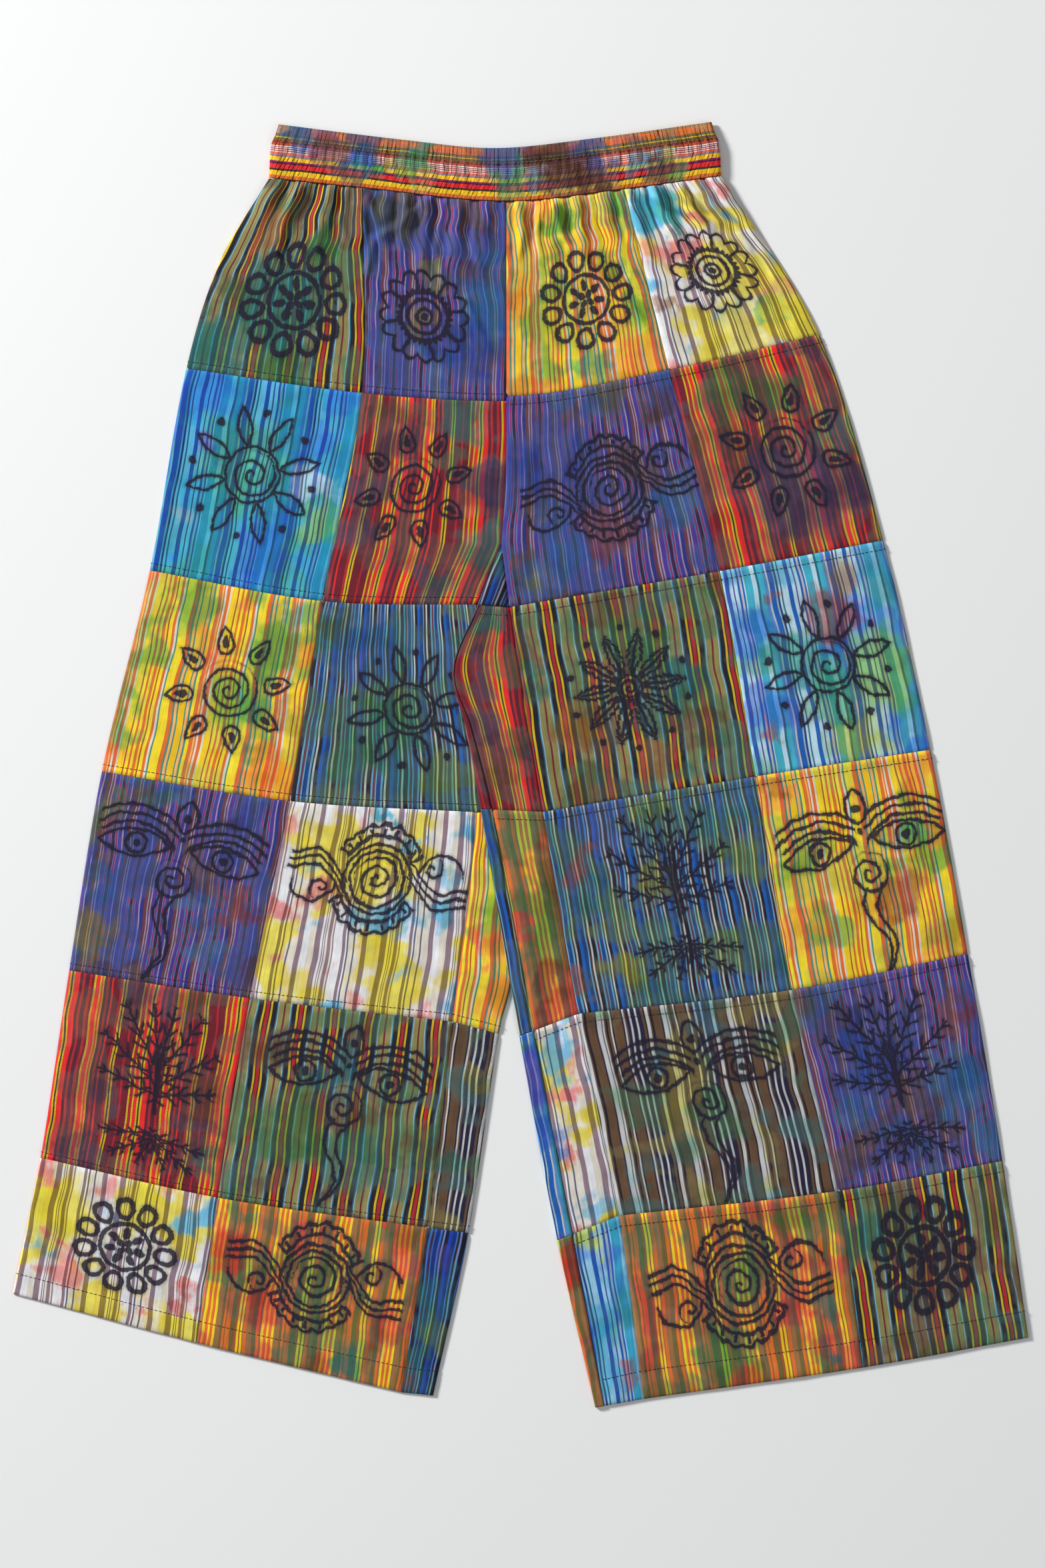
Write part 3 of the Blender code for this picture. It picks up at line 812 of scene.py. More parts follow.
# every cloth is mottled by dyes: dye, how much of the cloth it spares, strength
mottles = {
    "olive": (("green", 0.50, 0.60), ("brown", 0.54, 0.60), ("teal", 0.56, 0.60)),
    "purple": (("blue", 0.50, 0.70), ("brown", 0.56, 0.60), ("sky", 0.58, 0.60)),
    "yellow": (("lime", 0.50, 0.60), ("green", 0.57, 0.75), ("orange", 0.57, 0.60)),
    "white": (("yellow", 0.49, 0.92), ("sky", 0.58, 0.85), ("rose", 0.61, 0.85)),
    "turquoise": (("cyan", 0.46, 0.65), ("green", 0.56, 0.50), ("blue", 0.55, 0.60)),
    "red": (("brown", 0.50, 0.55), ("navy", 0.58, 0.60), ("moss", 0.59, 0.50)),
    "navy": (("green", 0.50, 0.60), ("teal", 0.52, 0.55), ("lime", 0.58, 0.60)),
    "brown": (("green", 0.52, 0.60), ("yellow", 0.55, 0.60), ("teal", 0.57, 0.60)),
    "orange": (("green", 0.53, 0.70), ("red", 0.54, 0.70), ("moss", 0.55, 0.60)),
}

# every patch of the front: cloth, shift of its stripes, print, and dye blots.
# A print is its kind, place across and down as shares, radius, half width of its lines, turn in degrees.
# A blot is its dye, place across and down, radius, and strength.
frontPatches = {
    "left_row1_outer": dict(
        cloth="olive", shift=4.0,
        ink=("roundFlower", 0.55, 0.58, 46.0, 2.0, 0.0),
        blots=(("teal", 0.42, 0.60, 44, 0.9), ("orange", 0.26, 0.22, 20, 0.7),
               ("teal", 0.06, 0.92, 36, 0.9),
               ("green", 0.66, 0.30, 16, 0.9), ("moss", 0.15, 0.55, 18, 0.6),
               ("green", 0.50, 0.95, 26, 0.7)),
    ),
    "left_row1_inner": dict(
        cloth="purple", shift=9.0,
        ink=("ringRosette", 0.42, 0.60, 38.0, 1.4, 10.0),
        blots=(("sky", 0.88, 0.58, 30, 0.8), ("moss", 0.22, 0.10, 22, 0.7), ("lime", 0.50, 0.38, 12, 0.7),
               ("blue", 0.70, 0.75, 30, 0.7), ("yellow", 0.40, 0.62, 12, 0.8),
               ("brown", 0.75, 0.08, 16, 0.6)),
    ),
    "right_row1_inner": dict(
        cloth="yellow", shift=0.0,
        ink=("roundFlower", 0.56, 0.55, 41.0, 1.6, 0.0),
        blots=(("green", 0.46, 0.13, 18, 0.9), ("teal", 0.88, 0.10, 22, 0.6),
               ("green", 0.80, 0.42, 18, 0.8),
               ("lime", 0.35, 0.62, 26, 0.6), ("teal", 0.55, 0.88, 18, 0.8), ("green", 0.90, 0.66, 16, 0.8),
               ("orange", 0.85, 0.95, 26, 0.6), ("orange", 0.05, 0.55, 14, 0.5)),
    ),
    "right_row1_outer": dict(
        cloth="white", shift=6.0,
        ink=("ringRosette", 0.51, 0.53, 39.0, 1.4, 0.0),
        blots=(("cyan", 0.15, 0.12, 26, 0.9), ("teal", 0.35, 0.16, 18, 0.9), ("rose", 0.38, 0.38, 15, 0.9),
               ("rose", 0.62, 0.22, 10, 0.9), ("yellow", 0.72, 0.55, 34, 0.9),
               ("yellow", 0.50, 0.90, 30, 0.8),
               ("green", 0.78, 0.82, 12, 0.9), ("brown", 0.12, 0.66, 11, 0.7),
               ("yellow", 0.95, 0.86, 26, 0.9)),
    ),
    "left_row2_outer": dict(
        cloth="turquoise", shift=2.0, wash=("cyan", 0.85),
        ink=("almondFlower", 0.47, 0.46, 50.0, 1.1, 4.0),
        blots=(("green", 0.42, 0.42, 40, 0.6), ("teal", 0.30, 0.80, 36, 0.6), ("none", 0.80, 0.45, 17, 0.8),
               ("lime", 0.93, 0.62, 18, 0.6), ("violet", 0.18, 0.36, 9, 0.7), ("blue", 0.10, 0.10, 26, 0.6),
               ("blue", 0.62, 0.85, 22, 0.6), ("grey", 0.10, 0.72, 10, 0.6)),
    ),
    "left_row2_inner": dict(
        cloth="red", shift=8.0,
        ink=("sunDrops", 0.42, 0.43, 46.0, 1.1, 6.0),
        blots=(("teal", 0.70, 0.08, 22, 0.8), ("navy", 0.92, 0.42, 24, 0.8), ("green", 0.62, 0.30, 12, 0.6),
               ("teal", 0.96, 0.72, 26, 0.8), ("navy", 0.08, 0.66, 18, 0.6), ("teal", 0.70, 0.90, 16, 0.6),
               ("rose", 0.75, 0.50, 12, 0.5)),
    ),
    "right_row2_inner": dict(
        cloth="purple", shift=3.0,
        ink=("swirlWaves", 0.55, 0.51, 68.0, 1.2, -4.0),
        blots=(("blue", 0.22, 0.30, 34, 0.6), ("red", 0.52, 0.72, 24, 0.7), ("brown", 0.66, 0.40, 16, 0.6),
               ("moss", 0.62, 0.06, 18, 0.7), ("sky", 0.88, 0.62, 20, 0.7), ("lime", 0.12, 0.88, 12, 0.6),
               ("sky", 0.30, 0.80, 18, 0.6), ("brown", 0.86, 0.18, 14, 0.6)),
    ),
    "right_row2_outer": dict(
        cloth="red", shift=30.0,
        ink=("sunDrops", 0.57, 0.50, 49.0, 1.2, 0.0),
        blots=(("green", 0.30, 0.16, 26, 0.8), ("green", 0.62, 0.24, 22, 0.8),
               ("navy", 0.56, 0.68, 44, 0.8),
               ("teal", 0.90, 0.45, 22, 0.7), ("navy", 0.92, 0.72, 24, 0.7),
               ("brown", 0.30, 0.45, 16, 0.5)),
    ),
    "left_row3_outer": dict(
        cloth="yellow", shift=20.0,
        ink=("sunDrops", 0.57, 0.50, 48.0, 1.1, 8.0),
        blots=(("green", 0.30, 0.12, 22, 0.8), ("green", 0.78, 0.28, 26, 0.9),
               ("teal", 0.92, 0.10, 16, 0.8),
               ("green", 0.62, 0.56, 26, 0.8), ("teal", 0.74, 0.52, 12, 0.7),
               ("orange", 0.88, 0.92, 22, 0.6),
               ("green", 0.16, 0.46, 10, 0.6), ("moss", 0.90, 0.62, 16, 0.6)),
    ),
    "left_row3_inner": dict(
        cloth="navy", shift=0.0,
        ink=("almondFlower", 0.55, 0.51, 47.0, 1.2, 10.0),
        blots=(("green", 0.50, 0.55, 30, 0.8), ("green", 0.25, 0.78, 24, 0.8),
               ("lime", 0.70, 0.80, 20, 0.7),
               ("moss", 0.12, 0.12, 14, 0.7), ("blue", 0.30, 0.25, 30, 0.5), ("teal", 0.75, 0.30, 26, 0.5)),
    ),
    "right_row3_inner": dict(
        cloth="olive", shift=0.0,
        ink=("spikyLeaves", 0.49, 0.48, 47.0, 1.2, 0.0),
        blots=(("green", 0.55, 0.30, 26, 0.8), ("orange", 0.20, 0.62, 20, 0.7),
               ("orange", 0.35, 0.40, 12, 0.7),
               ("cyan", 0.72, 0.46, 22, 0.7), ("teal", 0.60, 0.62, 24, 0.7),
               ("orange", 0.55, 0.82, 16, 0.7),
               ("green", 0.85, 0.15, 16, 0.6)),
    ),
    "right_row3_outer": dict(
        cloth="turquoise", shift=16.0,
        ink=("almondFlower", 0.52, 0.53, 49.0, 1.2, 12.0),
        blots=(("red", 0.60, 0.30, 22, 0.8), ("rose", 0.28, 0.18, 9, 0.8), ("orange", 0.70, 0.12, 16, 0.7),
               ("lime", 0.82, 0.60, 34, 0.8), ("yellow", 0.60, 0.88, 24, 0.8),
               ("green", 0.50, 0.70, 22, 0.7),
               ("rose", 0.10, 0.80, 9, 0.8), ("teal", 0.92, 0.20, 20, 0.7)),
    ),
    "left_row4_outer": dict(
        cloth="purple", shift=14.0,
        ink=("calmEyes", 0.48, 0.33, 65.0, 1.2, 4.0),
        blots=(("lime", 0.05, 0.20, 20, 0.7), ("red", 0.86, 0.55, 15, 0.8), ("rose", 0.08, 0.28, 8, 0.8),
               ("yellow", 0.08, 0.80, 20, 0.7), ("sky", 0.72, 0.80, 16, 0.7), ("blue", 0.75, 0.22, 24, 0.6),
               ("brown", 0.40, 0.95, 14, 0.7), ("green", 0.30, 0.06, 14, 0.6)),
    ),
    "left_row4_inner": dict(
        cloth="white", shift=0.0,
        ink=("swirlWaves", 0.52, 0.35, 71.0, 1.3, 2.0),
        blots=(("yellow", 0.08, 0.16, 16, 0.9), ("yellow", 0.48, 0.36, 24, 0.9),
               ("sky", 0.66, 0.16, 7, 0.8),
               ("cyan", 0.52, 0.03, 9, 0.9), ("rose", 0.03, 0.55, 10, 0.9), ("yellow", 0.62, 0.68, 16, 0.8),
               ("yellow", 0.20, 0.92, 18, 0.8), ("sky", 0.88, 0.30, 12, 0.6), ("sky", 0.70, 0.80, 9, 0.5)),
    ),
    "left_row4_strip": dict(
        cloth="yellow", shift=38.0,
        blots=(("rose", 0.40, 0.62, 11, 0.9), ("green", 0.60, 0.20, 12, 0.8),
               ("orange", 0.70, 0.86, 14, 0.7)),
    ),
    "right_row3_strip": dict(
        cloth="red", shift=16.0,
        blots=(("teal", 0.50, 0.04, 16, 0.9), ("moss", 0.85, 0.30, 14, 0.7),
               ("green", 0.80, 0.66, 12, 0.5)),
    ),
    "right_row4_strip": dict(
        cloth="orange", shift=4.0,
        blots=(("green", 0.50, 0.48, 22, 0.8), ("rose", 0.20, 0.55, 8, 0.9),
               ("brown", 0.60, 0.78, 16, 0.8)),
    ),
    "right_row4_inner": dict(
        cloth="navy", shift=6.0,
        ink=("rootedTree", 0.54, 0.42, 58.0, 0.7, 0.0),
        blots=(("rose", 0.12, 0.30, 15, 0.8), ("yellow", 0.45, 0.42, 16, 0.8),
               ("lime", 0.88, 0.34, 24, 0.8),
               ("yellow", 0.24, 0.80, 18, 0.8), ("rose", 0.05, 0.84, 10, 0.8),
               ("lime", 0.72, 0.76, 20, 0.7),
               ("blue", 0.25, 0.10, 26, 0.5), ("lime", 0.50, 0.06, 14, 0.7)),
    ),
    "right_row4_outer": dict(
        cloth="yellow", shift=44.0,
        ink=("calmEyes", 0.53, 0.39, 65.0, 1.3, -3.0),
        blots=(("teal", 0.80, 0.38, 18, 0.9), ("green", 0.86, 0.52, 18, 0.8),
               ("brown", 0.70, 0.66, 20, 0.8),
               ("moss", 0.92, 0.90, 22, 0.7), ("orange", 0.90, 0.12, 16, 0.7),
               ("brown", 0.06, 0.06, 10, 0.6)),
    ),
    "left_row5_outer": dict(
        cloth="red", shift=44.0,
        ink=("rootedTree", 0.57, 0.44, 58.0, 0.8, 0.0),
        blots=(("orange", 0.10, 0.20, 20, 0.5), ("brown", 0.85, 0.50, 20, 0.6),
               ("teal", 0.90, 0.82, 9, 0.7),
               ("moss", 0.70, 0.08, 14, 0.6), ("rose", 0.20, 0.70, 18, 0.4)),
    ),
    "left_row5_inner": dict(
        cloth="olive", shift=12.0,
        ink=("calmEyes", 0.53, 0.32, 64.0, 1.3, 3.0),
        blots=(("cyan", 0.48, 0.30, 20, 0.8), ("green", 0.30, 0.60, 32, 0.7), ("teal", 0.60, 0.72, 28, 0.7),
               ("brown", 0.15, 0.25, 16, 0.6), ("green", 0.75, 0.35, 20, 0.6),
               ("brown", 0.88, 0.60, 14, 0.5)),
    ),
    "left_row5_strip": dict(
        cloth="brown", shift=20.0,
        blots=(("teal", 0.30, 0.70, 12, 0.6), ("yellow", 0.70, 0.25, 10, 0.6)),
    ),
    "right_row5_strip": dict(
        cloth="white", shift=12.0,
        blots=(("sky", 0.30, 0.12, 15, 0.8), ("rose", 0.45, 0.34, 10, 0.9), ("rose", 0.25, 0.62, 8, 0.9),
               ("yellow", 0.60, 0.54, 11, 0.9), ("blue", 0.05, 0.55, 12, 0.7),
               ("sky", 0.60, 0.90, 14, 0.7)),
    ),
    "right_row5_inner": dict(
        cloth="brown", shift=0.0,
        ink=("calmEyes", 0.50, 0.34, 64.0, 1.3, -2.0),
        blots=(("yellow", 0.40, 0.34, 26, 0.7), ("cyan", 0.34, 0.26, 10, 0.8), ("sky", 0.56, 0.10, 12, 0.7),
               ("green", 0.52, 0.55, 20, 0.7), ("yellow", 0.88, 0.30, 12, 0.6),
               ("teal", 0.12, 0.80, 14, 0.5)),
    ),
    "right_row5_outer": dict(
        cloth="purple", shift=20.0,
        ink=("rootedTree", 0.47, 0.44, 60.0, 0.7, 0.0),
        blots=(("blue", 0.40, 0.30, 40, 0.6), ("sky", 0.78, 0.60, 26, 0.8), ("red", 0.88, 0.26, 14, 0.7),
               ("brown", 0.55, 0.62, 20, 0.6), ("sky", 0.95, 0.86, 20, 0.8), ("moss", 0.06, 0.10, 12, 0.6)),
    ),
    "left_row6_outer": dict(
        cloth="white", shift=26.0,
        ink=("roundFlower", 0.54, 0.45, 40.0, 1.8, 0.0),
        blots=(("yellow", 0.12, 0.32, 34, 0.9), ("rose", 0.06, 0.08, 12, 0.9), ("rose", 0.16, 0.52, 9, 0.9),
               ("yellow", 0.60, 0.03, 14, 0.9), ("rose", 0.88, 0.70, 11, 0.9), ("rose", 0.62, 0.92, 8, 0.8),
               ("yellow", 0.80, 0.88, 14, 0.8)),
    ),
    "left_row6_inner": dict(
        cloth="orange", shift=18.0,
        ink=("swirlWaves", 0.51, 0.40, 70.0, 1.3, 3.0),
        blots=(("red", 0.10, 0.32, 18, 0.8), ("red", 0.28, 0.64, 18, 0.8), ("green", 0.52, 0.48, 26, 0.8),
               ("teal", 0.72, 0.90, 14, 0.9), ("rose", 0.92, 0.22, 12, 0.8),
               ("yellow", 0.70, 0.62, 18, 0.6),
               ("red", 0.88, 0.62, 14, 0.7), ("green", 0.12, 0.06, 12, 0.7), ("red", 0.45, 0.16, 12, 0.6)),
    ),
    "left_row6_strip": dict(
        cloth="navy", shift=0.0, wash=("blue", 0.75),
        blots=(("violet", 0.40, 0.20, 12, 0.6), ("orange", 0.20, 0.92, 9, 0.6)),
    ),
    "right_row6_strip": dict(
        cloth="turquoise", shift=7.0, wash=("sky", 0.4),
        blots=(("yellow", 0.40, 0.04, 12, 0.9), ("rose", 0.75, 0.90, 9, 0.8),
               ("cyan", 0.30, 0.60, 14, 0.6)),
    ),
    "right_row6_inner": dict(
        cloth="orange", shift=30.0,
        ink=("swirlWaves", 0.50, 0.44, 70.0, 1.3, -2.0),
        blots=(("green", 0.36, 0.80, 22, 0.9), ("green", 0.48, 0.42, 22, 0.8), ("red", 0.72, 0.60, 16, 0.8),
               ("cyan", 0.85, 0.92, 12, 0.9), ("green", 0.10, 0.10, 18, 0.7), ("teal", 0.88, 0.66, 12, 0.8),
               ("orange", 0.20, 0.50, 18, 0.5), ("green", 0.75, 0.08, 16, 0.7)),
    ),
    "right_row6_outer": dict(
        cloth="olive", shift=20.0,
        ink=("roundFlower", 0.45, 0.43, 40.0, 2.0, 0.0),
        blots=(("brown", 0.55, 0.50, 28, 0.6), ("teal", 0.18, 0.26, 20, 0.7),
               ("green", 0.70, 0.85, 20, 0.6),
               ("moss", 0.88, 0.20, 18, 0.6)),
    ),
    "right_row2_gusset": dict(cloth="navy", shift=11.0, wash=("navy", 0.6), blots=()),
}


inkLook = {
    "colour": (0.010, 0.007, 0.022, 1.0),
    "soft": 0.40,
    "cover": 0.93,
    "uneven": 0.9,
    "hand": 0.07,
    "bleed": 2.6,
    "bleedCover": 0.30,
}
dyeLook = {
    "swayPitch": 0.030,
    "sway": 15.0,
    "wave": 40.0,
    "wick": 9.0,
    "lightest": 0.26,
    "lift": 0.55,
}
clothFinish = {
    "Roughness": 0.86,
    "Specular IOR Level": 0.25,
    "Sheen Weight": 0.12,
    "Sheen Roughness": 0.5,
}
groups = {}


def layDye(bench, tint, cover, dye, share):
    return bench.mix(share, tint, (*dyes[dye], 1.0)), cover.most(share)


def finishCloth(bench, shader, colour, bump):
    bench.tree.links.new(colour.socket, shader.inputs["Base Color"])
    bench.tree.links.new(bench.node("Bump", None, bump).socket, shader.inputs["Normal"])
    for label, value in clothFinish.items():
        shader.inputs[label].default_value = value


def dyedMaterial(name, look, width, height):
    material, shader = newMaterial("cloth_" + name)
    bench = Bench(material.node_tree)
    cloth = look["cloth"]
    if cloth not in groups:
        groups[cloth] = clothGroup(cloth)

    flat = bench.flatPlace()
    shifted = bench.vector("ADD", flat, (look["shift"], 0.0, 0.0))
    if "row1" in name:
        # gathered stripes sway
        down = bench.split(flat)[1]
        sway = bench.noise(bench.vector("MULTIPLY", shifted, (0.5, 1.0, 1.0)), dyeLook["swayPitch"], 1.0)
        sway = (sway - 0.5) * dyeLook["sway"] * down.fade(135.0, 10.0)
        shifted = bench.vector("ADD", shifted, bench.point(sway, 0.0))
    woven = bench.node("Group", {"node_tree": groups[cloth]}, {0: shifted})
    relief = Signal(bench, woven.socket.node.outputs[1])

    # dye soaks in with wavy rims
    seed = sum(ord(letter) * (i + 1) for i, letter in enumerate(name)) % 997
    drift = bench.vector("ADD", flat, (seed * 7.0, seed * 3.0, 0.0))
    soaked = bench.vector("ADD", flat, bench.waver(drift, 0.045, 3.0, dyeLook["wave"]))
    wick = bench.noise(bench.vector("MULTIPLY", drift, (1.0, 0.10, 1.0)), 0.55, 2.0) - 0.5
    washDye, washShare = look.get("wash", ("none", 0.0))
    tint = bench.mix(washShare, (1.0, 1.0, 1.0, 1.0), (*dyes[washDye], 1.0))
    cover = bench.value(0.0)
    for i, (dye, spared, strength) in enumerate(mottles[cloth]):
        patchy = bench.noise(bench.vector("ADD", drift, (i * 131.0, i * 57.0, 0.0)), 0.021, 3.0)
        share = (patchy + wick * 0.10).fade(spared, spared + 0.10) * strength
        tint, cover = layDye(bench, tint, cover, dye, share)
    for dye, across, down, radius, strength in look["blots"]:
        away = bench.distance(soaked, across * width, down * height) + wick * dyeLook["wick"]
        share = away.fade(radius * 1.20, radius * 0.55) * strength
        tint, cover = layDye(bench, tint, cover, dye, share)
    depth = 0.66 + bench.noise(drift, 0.06, 4.0) * 0.62
    tint = bench.mix(1.0, tint, bench.grey(depth), "MULTIPLY")
    colour = bench.mix(1.0, woven, tint, "MULTIPLY")
    lit = bench.mix(1.0, tint, (*[dyeLook["lightest"]] * 3, 1.0), "MULTIPLY")
    colour = bench.mix(cover * dyeLook["lift"], colour, lit, "LIGHTEN")

    if "ink" in look:
        kind, across, down, radius, halfWidth, turn = look["ink"]
        if kind not in groups:
            groups[kind] = printGroup(kind)
        place = {
            "Vector": flat,
            "Location": (across * width, down * height, 0.0),
            "Rotation": (0.0, 0.0, math.radians(turn)),
            "Scale": (radius, -radius, 1.0),
        }
        local = bench.node("Mapping", {"vector_type": "TEXTURE"}, place)
        local = bench.vector("ADD", local, bench.waver(drift, 0.10, 2.0, inkLook["hand"]))
        drawn = bench.node("Group", {"node_tree": groups[kind]}, {0: local})
        swell = (bench.noise(drift, 0.35, 2.0) - 0.5) * inkLook["uneven"] * 2.0
        away = drawn * radius - halfWidth - swell
        ink = away.fade(inkLook["soft"], -inkLook["soft"]) * inkLook["cover"]
        bleed = away.fade(inkLook["bleed"], 0.0) * inkLook["bleedCover"]
        colour = bench.mix(bleed, colour, inkLook["colour"])
        colour = bench.mix(ink, colour, inkLook["colour"])

    finishCloth(bench, shader, colour, {"Strength": 0.35, "Distance": 0.0003, "Height": relief})
    return material


# cloth shells


def clothShell(name, top, under, shares):
    # a closed shell from two grids of points; shares are each point's UV, in metres
    rows, columns = len(top), len(top[0])
    count = rows * columns
    points = [tuple(c * mm for c in p) for grid in (top, under) for row in grid for p in row]
    uvs = [(u * mm, v * mm) for row in shares for u, v in row] * 2
    faces = []
    for i in range(rows - 1):
        for j in range(columns - 1):
            a = i * columns + j
            b, c, d = a + columns, a + columns + 1, a + 1
            faces.append((a, b, c, d))
            faces.append((a + count, d + count, c + count, b + count))
    rim = [(0, j) for j in range(columns - 1)] + [(i, columns - 1) for i in range(rows - 1)]
    rim += [(rows - 1, j) for j in range(columns - 1, 0, -1)] + [(i, 0) for i in range(rows - 1, 0, -1)]
    for (i, j), (k, m) in zip(rim, rim[1:] + rim[:1]):
        a, b = i * columns + j, k * columns + m
        faces.append((a, b, b + count, a + count))
    mesh = bpy.data.meshes.new(name)
    mesh.from_pydata(points, [], faces)
    layer = mesh.uv_layers.new(name="UVMap")
    layer.data.foreach_set("uv", [c for loop in mesh.loops for c in uvs[loop.vertex_index]])
    mesh.polygons.foreach_set("use_smooth", [True] * len(mesh.polygons))
    obj = bpy.data.objects.new(name, mesh)
    bpy.context.scene.collection.objects.link(obj)
    return obj


def fineStops(length, middleStep, rim=(0.0, 0.7, 1.4, 2.4, 3.8, 5.6, 8.0)):
    # shares along a side, close together at its ends where the seams are
    inner = length - 2 * rim[-1]
    count = max(round(inner / middleStep), 1)
    places = list(rim) + [rim[-1] + inner * i / count for i in range(1, count)]
    places += [length - place for place in reversed(rim)]
    return [place / length for place in places]


relief = {
    "seamDip": 0.8,
    "seamWidth": 1.3,
    "turning": 0.45,
    "stitchIn": 5.6,
    "hemStitch": 18.0,
    "pucker": 0.30,
    "puckerPitch": 7.0,
    "slump": 1.1,
    "freeDrop": 1.35,
    "freeWidth": 3.6,
}

# soft creases placed one by one: from x, y, to x, y, height, half width
creases = (
    (-250.0, 300.0, -160.0, 330.0, 0.8, 8.0), (-240.0, 250.0, -170.0, 180.0, -0.7, 9.0),
    (-110.0, 260.0, -20.0, 230.0, 0.8, 8.0), (-40.0, 250.0, -14.0, 140.0, -1.0, 7.0),
    (10.0, 270.0, -4.0, 150.0, 0.9, 8.0), (60.0, 250.0, 20.0, 170.0, -0.8, 9.0),
    (140.0, 290.0, 210.0, 300.0, 0.8, 8.0), (200.0, 240.0, 250.0, 190.0, -0.7, 9.0),
    (-300.0, 110.0, -220.0, 90.0, 0.7, 9.0), (-150.0, 100.0, -80.0, 60.0, -0.8, 8.0),
    (-130.0, 10.0, -60.0, -20.0, 0.9, 9.0), (60.0, 100.0, 140.0, 80.0, 0.8, 9.0),
    (110.0, 20.0, 170.0, 50.0, -0.7, 8.0), (210.0, 100.0, 290.0, 60.0, 0.8, 9.0),
    (-330.0, -60.0, -250.0, -90.0, 0.8, 9.0), (-190.0, -110.0, -120.0, -80.0, -0.7, 9.0),
    (-90.0, -130.0, -60.0, -190.0, 0.8, 8.0), (90.0, -90.0, 110.0, -160.0, -0.8, 8.0),
    (150.0, -60.0, 200.0, -120.0, 0.7, 9.0), (250.0, -40.0, 320.0, -80.0, -0.7, 9.0),
    (-360.0, -220.0, -290.0, -250.0, 0.7, 9.0), (-200.0, -250.0, -120.0, -230.0, 0.8, 9.0),
    (-150.0, -300.0, -80.0, -330.0, -0.8, 8.0), (100.0, -240.0, 170.0, -270.0, 0.8, 8.0),
    (160.0, -300.0, 230.0, -280.0, -0.7, 8.0), (280.0, -210.0, 350.0, -250.0, 0.8, 9.0),
    (-330.0, -350.0, -270.0, -400.0, 0.7, 9.0), (-210.0, -400.0, -130.0, -430.0, 0.8, 9.0),
    (120.0, -400.0, 190.0, -430.0, 0.8, 9.0), (290.0, -360.0, 360.0, -400.0, -0.7, 9.0),
)


# sharp folds under the waistband: height, width, then points down the fold's crest
folds = (
    (2.4, 3.2, ((-76.0, 437.0), (-96.0, 418.0), (-114.0, 408.0), (-120.0, 380.0))),
    (2.0, 3.0, ((-118.0, 440.0), (-108.0, 415.0), (-104.0, 392.0))),
    (1.6, 2.8, ((-60.0, 436.0), (-66.0, 400.0), (-58.0, 372.0))),
    (1.4, 2.6, ((-34.0, 434.0), (-36.0, 404.0), (-30.0, 380.0))),
    (1.2, 2.8, ((-42.0, 362.0), (-34.0, 342.0), (-26.0, 328.0))),
    (2.2, 2.8, ((-3.0, 436.0), (2.0, 414.0), (-2.0, 392.0))),
    (2.0, 2.8, ((18.0, 436.0), (12.0, 414.0), (16.0, 396.0))),
    (2.8, 3.4, ((26.0, 434.0), (34.0, 410.0), (60.0, 381.0), (86.0, 357.0), (98.0, 340.0))),
    (1.0, 2.2, ((57.0, 423.0), (69.0, 432.0), (76.0, 436.0))),
    (2.2, 3.0, ((95.0, 445.0), (112.0, 436.0), (136.0, 428.0), (150.0, 420.0))),
    (2.4, 3.0, ((112.0, 452.0), (128.0, 440.0), (148.0, 431.0), (156.0, 421.0))),
    (2.2, 3.0, ((128.0, 454.0), (146.0, 438.0), (165.0, 423.0), (180.0, 402.0))),
    (2.0, 3.0, ((146.0, 457.0), (156.0, 446.0), (170.0, 431.0), (184.0, 408.0), (200.0, 378.0))),
    (0.9, 2.4, ((98.0, 409.0), (108.0, 414.0), (118.0, 416.0))),
    (1.6, 3.0, ((-172.0, 448.0), (-184.0, 425.0), (-190.0, 395.0))),
    (1.6, 3.0, ((-150.0, 447.0), (-160.0, 425.0), (-158.0, 398.0))),
    (1.4, 3.0, ((-136.0, 446.0), (-140.0, 424.0), (-134.0, 404.0))),
    (1.2, 2.8, ((78.0, 444.0), (80.0, 424.0), (90.0, 404.0))),
)


def foldHeight(x, y):
    height = 0.0
    for crown, width, points in folds:
        nearest, side = None, 0.0
        for (startX, startY), (endX, endY) in zip(points, points[1:]):
            alongX, alongY = endX - startX, endY - startY
            share = ((x - startX) * alongX + (y - startY) * alongY) / (alongX * alongX + alongY * alongY)
            share = min(max(share, 0.0), 1.0)
            gapX, gapY = x - startX - share * alongX, y - startY - share * alongY
            away = math.hypot(gapX, gapY)
            if nearest is None or away < nearest:
                nearest = away
                side = math.copysign(away, gapX * -alongY + gapY * alongX)
        if nearest < 4.0 * width:
            # a crest with a trough on its right
            end = ease((y - points[-1][1] + 10.0) / 22.0)
            crest = math.exp(-((side / width) ** 2))
            trough = math.exp(-(((side + 1.7 * width) / width) ** 2))
            height += crown * end * (crest - 0.6 * trough)
    return height


def creaseHeight(x, y):
    height = 0.0
    for startX, startY, endX, endY, crown, halfWidth in creases:
        alongX, alongY = endX - startX, endY - startY
        length2 = alongX * alongX + alongY * alongY
        share = ((x - startX) * alongX + (y - startY) * alongY) / length2
        if -0.3 < share < 1.3:
            away = abs((x - startX) * alongY - (y - startY) * alongX) / math.sqrt(length2)
            if away < halfWidth:
                ends = ease((share + 0.3) / 0.5) * ease((1.3 - share) / 0.5)
                height += crown * (1.0 - ease(away / halfWidth)) * ends
    return height


def softness(x, y):
    # the cloth's own uneven lie
    broad = noise.noise(Vector((x / 46.0, y / 60.0, 3.1)))
    small = noise.noise(Vector((x / 15.0, y / 24.0, 7.7)))
    height = relief["slump"] * (broad + 0.45 * small) + creaseHeight(x, y)
    # no deeper than the cloth below; frontPatchShape flattens it where the right leg lies on it
    return max(height, -0.45 - 0.1 * math.tanh(-height))


